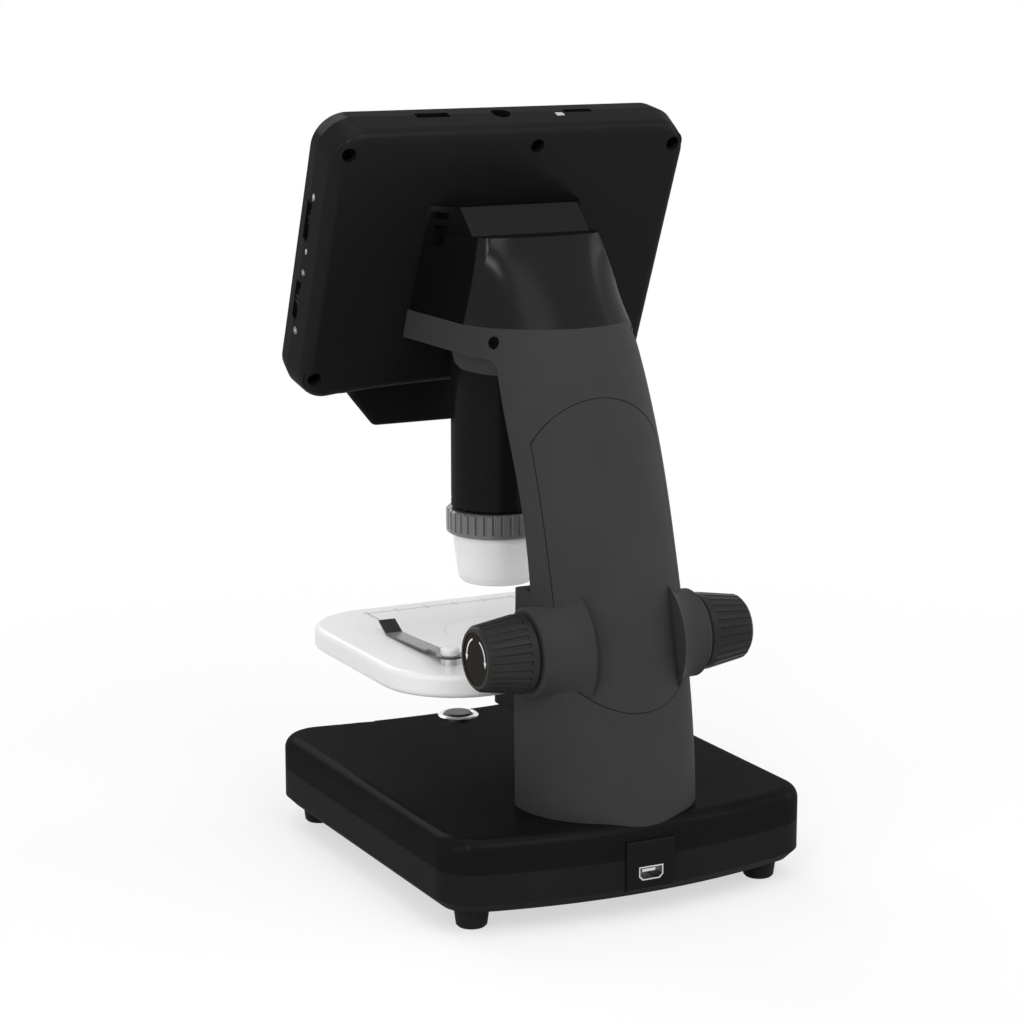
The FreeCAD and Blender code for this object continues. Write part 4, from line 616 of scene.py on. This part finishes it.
def corner_columns(corner, down, side, out_side, out_top, corner_r):
    """Points round the corner, with their outward directions, from one edge to the other."""
    half_angle = down.angle(side) / 2
    centre = corner + (down + side).normalized() * corner_r / math.sin(half_angle)
    tangent = corner_r / math.tan(half_angle)
    columns = []
    for k in range(STRAIGHT_STEPS):
        s = SKIN_RUN - (SKIN_RUN - tangent) * k / STRAIGHT_STEPS
        columns.append((corner + down * s, out_side))
    for k in range(ROUND_STEPS + 1):
        n = turned_between(out_side, out_top, k / ROUND_STEPS)
        columns.append((centre + n * corner_r, n))
    for k in range(1, STRAIGHT_STEPS + 1):
        s = tangent + (SKIN_RUN - tangent) * k / STRAIGHT_STEPS
        columns.append((corner + side * s, out_top))
    return columns


def edge_profile(edge_r, lean_out, reach):
    """Offsets from the outline with their depths: over the flat, round the edge, down the side."""
    a = math.atan(lean_out)
    start = edge_r / math.cos(a) - edge_r * math.tan(a)
    profile = [(-SKIN_FLAT + (SKIN_FLAT - start) * k / FLAT_STEPS, 0.0) for k in range(FLAT_STEPS)]
    for k in range(EDGE_STEPS + 1):
        q = (math.pi / 2 - a) * k / EDGE_STEPS
        depth = edge_r * (1 - math.cos(q))
        profile.append((-start + edge_r * math.sin(q) - lean_out * depth, depth))
    last = profile[-1][1]
    return profile + [(0.0, last + (reach - last) * k / WALL_STEPS) for k in range(1, WALL_STEPS + 1)]


def cut_well(bm, axis, radius, wall_y):
    """Opens a round hole and gives it a wall that ends at wall_y."""
    def away(v):
        return Vector((v.co.x, v.co.z)) - axis

    inside = [f for f in bm.faces if sum(away(v).length for v in f.verts) / 4 < radius]
    bmesh.ops.delete(bm, geom=inside, context="FACES")
    bmesh.ops.delete(bm, geom=[v for v in bm.verts if not v.link_faces], context="VERTS")
    near = radius + WELL_MARGIN
    open_edges = [e for e in bm.edges if len(e.link_faces) == 1]
    rim = [e for e in open_edges if all(away(v).length < near for v in e.verts)]
    for v in {v for e in rim for v in e.verts}:
        to = away(v).normalized() * radius
        v.co.x, v.co.z = axis.x + to.x, axis.y + to.y
    for part in bmesh.ops.extrude_edge_only(bm, edges=rim)["geom"]:
        if isinstance(part, bmesh.types.BMVert):
            part.co.y = wall_y


def corner_skin(name, node, sx, sz, plane, inward, size, grow, edge_r, corner_r, reach,
                well=None):
    """A skin of even radius over one corner, where the screw boss stands through the solid's outline.

    sx and sz say which corner. plane is the y of the flat face and inward the y step into the
    housing. size is (half width, height of the edge), grow is how the sides spread per millimetre
    of depth, reach is how deep the skin goes, and well is the screw hole's (x, z, radius, depth).
    """
    half_w, height = size
    corner = Vector((sx * (half_w - (HOUSING_TAPER if sz < 0 else 0)), height))
    down = Vector((-sx * sz * HOUSING_TAPER, -sz * SIDE_LENGTH)).normalized()
    side = Vector((-sx, BOTTOM_SLOPE if sz < 0 else 0)).normalized()
    out_side = Vector((-down.y, down.x))
    out_side = out_side if out_side.x * sx > 0 else -out_side
    out_top = Vector((-side.y, side.x))
    out_top = out_top if out_top.y * sz > 0 else -out_top
    spread = Vector((sx * grow[0], sz * grow[1]))
    bm = bmesh.new()
    rows = []
    for base, n in corner_columns(corner, down, side, out_side, out_top, corner_r):
        row = []
        for off, depth in edge_profile(edge_r, max(0.0, spread.dot(n)), reach):
            flat = base + n * (off + SKIN_LIFT) + spread * depth
            y = plane + inward * (depth - (SKIN_LIFT if depth < 0.5 * edge_r else 0.0))
            row.append(bm.verts.new((flat.x, y, flat.y)))
        rows.append(row)
    for a, b in zip(rows, rows[1:]):
        for k in range(len(a) - 1):
            bm.faces.new((a[k], b[k], b[k + 1], a[k + 1]))
    if well:
        x, z, radius, deep = well
        cut_well(bm, Vector((sx * x, sz * z)), radius, plane + inward * deep)
    bmesh.ops.remove_doubles(bm, verts=bm.verts, dist=MERGE)
    bmesh.ops.recalc_face_normals(bm, faces=bm.faces)
    turn = Matrix.Rotation(-LEAN, 3, "X")
    for v in bm.verts:
        spot = turn @ (v.co * MM) + HOUSING_POINT
        v.co = [min(max(c, lo), hi) for c, lo, hi in zip(spot, cad_low, cad_high)]
    facing = turn @ Vector((0, -inward, 0))
    if max(bm.faces, key=lambda f: abs(f.normal.dot(facing))).normal.dot(facing) < 0:
        bmesh.ops.reverse_faces(bm, faces=bm.faces)
    for f in bm.faces:
        f.smooth = True
    for e in bm.edges:
        if len(e.link_faces) == 2 and e.calc_face_angle(0) > CREASE:
            e.smooth = False
    make_piece(name, bm, LOOKS[node], "stand")


# One level of corners a line: sign, name, back edge, front edge, front spread, corner radius.
LEVELS = (
    (1, "upper", 42.9, 42.2, 0.186, 10.0),
    (-1, "lower", -44.7, -44.8, 0.071, 8.4),
)
for sx, side in ((1, "left"), (-1, "right")):
    for sz, level, back_edge, front_edge, front_spread, r in LEVELS:
        corner_skin(f"housing_{level}_{side}_corner", "lcd_rear_shell", sx, sz,
                    0.0, -1, (57.0, back_edge), (0.13, 0.06), 3.6, r, 9.96, WELL)
        corner_skin(f"bezel_{level}_{side}_corner", "lcd_front_bezel", sx, sz,
                    -17.0, 1, (57.5, front_edge), (0.114, front_spread), 1.6, r, 6.96)


# ---- floor, light and background ----

FLOOR_SIZE = 6.0
FLOOR_Z = 0.0


def background_rays(nodes, links):
    """1 for rays that should see the white background: camera, glossy and transmitted ones."""
    path = nodes.new("ShaderNodeLightPath")
    total = path.outputs["Is Camera Ray"]
    for other in ("Is Glossy Ray", "Is Transmission Ray"):
        add = nodes.new("ShaderNodeMath")
        add.operation = "MAXIMUM"
        links.new(total, add.inputs[0])
        links.new(path.outputs[other], add.inputs[1])
        total = add.outputs[0]
    return total


world = bpy.data.worlds.new("studio")
bpy.context.scene.world = world
world.use_nodes = True
wn, wl = world.node_tree.nodes, world.node_tree.links
wn.clear()
world_out = wn.new("ShaderNodeOutputWorld")
seen, felt = wn.new("ShaderNodeBackground"), wn.new("ShaderNodeBackground")
seen.inputs["Color"].default_value = WHITE
seen.inputs["Strength"].default_value = 1.0
felt.inputs["Color"].default_value = WHITE
felt.inputs["Strength"].default_value = 0.42
world_mix = wn.new("ShaderNodeMixShader")
wl.new(background_rays(wn, wl), world_mix.inputs[0])
wl.new(felt.outputs[0], world_mix.inputs[1])
wl.new(seen.outputs[0], world_mix.inputs[2])
wl.new(world_mix.outputs[0], world_out.inputs["Surface"])

floor_mesh = bpy.data.meshes.new("floor")
bm = bmesh.new()
bmesh.ops.create_circle(bm, cap_ends=True, segments=96, radius=FLOOR_SIZE)
bm.to_mesh(floor_mesh)
bm.free()
floor = bpy.data.objects.new("floor", floor_mesh)
floor.location.z = FLOOR_Z
bpy.context.scene.collection.objects.link(floor)

floor_look = bpy.data.materials.new("floor_paper")
floor_look.use_nodes = True
fn, fl = floor_look.node_tree.nodes, floor_look.node_tree.links
fn.clear()
floor_out = fn.new("ShaderNodeOutputMaterial")
paper, white_glow = fn.new("ShaderNodeBsdfDiffuse"), fn.new("ShaderNodeEmission")
paper.inputs["Color"].default_value = (0.86, 0.86, 0.86, 1)
white_glow.inputs["Color"].default_value = WHITE
place = fn.new("ShaderNodeTexCoord").outputs["Object"]
far = fn.new("ShaderNodeVectorMath")
far.operation = "LENGTH"
fl.new(place, far.inputs[0])
fade = fn.new("ShaderNodeMapRange")
fl.new(far.outputs["Value"], fade.inputs["Value"])
fade.interpolation_type = "SMOOTHSTEP"
fade.inputs["From Min"].default_value = 0.10
fade.inputs["From Max"].default_value = 0.42
fade.inputs["To Min"].default_value = 0.62
fade.inputs["To Max"].default_value = 1.0
shown = fn.new("ShaderNodeMath")
shown.operation = "MULTIPLY"
fl.new(fade.outputs["Result"], shown.inputs[0])
fl.new(background_rays(fn, fl), shown.inputs[1])
floor_mix = fn.new("ShaderNodeMixShader")
fl.new(shown.outputs[0], floor_mix.inputs[0])
fl.new(paper.outputs[0], floor_mix.inputs[1])
fl.new(white_glow.outputs[0], floor_mix.inputs[2])
fl.new(floor_mix.outputs[0], floor_out.inputs["Surface"])
floor_mesh.materials.append(floor_look)

AIM = Vector((0, 0, 0.10))


def lamp(name, azimuth, elevation, distance, width, height, share):
    """A soft box. Share is the part of a plain light level that it gives at the object."""
    a, e = math.radians(azimuth), math.radians(elevation)
    data = bpy.data.lights.new(name, "AREA")
    data.shape = "RECTANGLE"
    data.size, data.size_y = width, height
    data.energy = math.pi ** 2 * share * distance ** 2
    box = bpy.data.objects.new(name, data)
    back = Vector((math.sin(a) * math.cos(e), -math.cos(a) * math.cos(e), math.sin(e)))
    box.location = AIM + back * distance
    box.rotation_euler = back.to_track_quat("Z", "Y").to_euler()
    bpy.context.scene.collection.objects.link(box)


lamp("key", 188, 42, 1.2, 0.7, 0.7, 0.32)
lamp("top", 120, 84, 1.3, 1.0, 1.0, 0.26)
lamp("front", 5, 35, 1.4, 0.9, 0.7, 0.30)
lamp("left", 112, 14, 1.3, 0.5, 0.6, 0.14)
lamp("left_band", 138, 34, 1.1, 0.14, 0.7, 0.24)
lamp("right_band", 230, 34, 1.1, 0.12, 0.7, 0.08)
lamp("right", 262, 20, 1.3, 0.5, 0.7, 0.12)
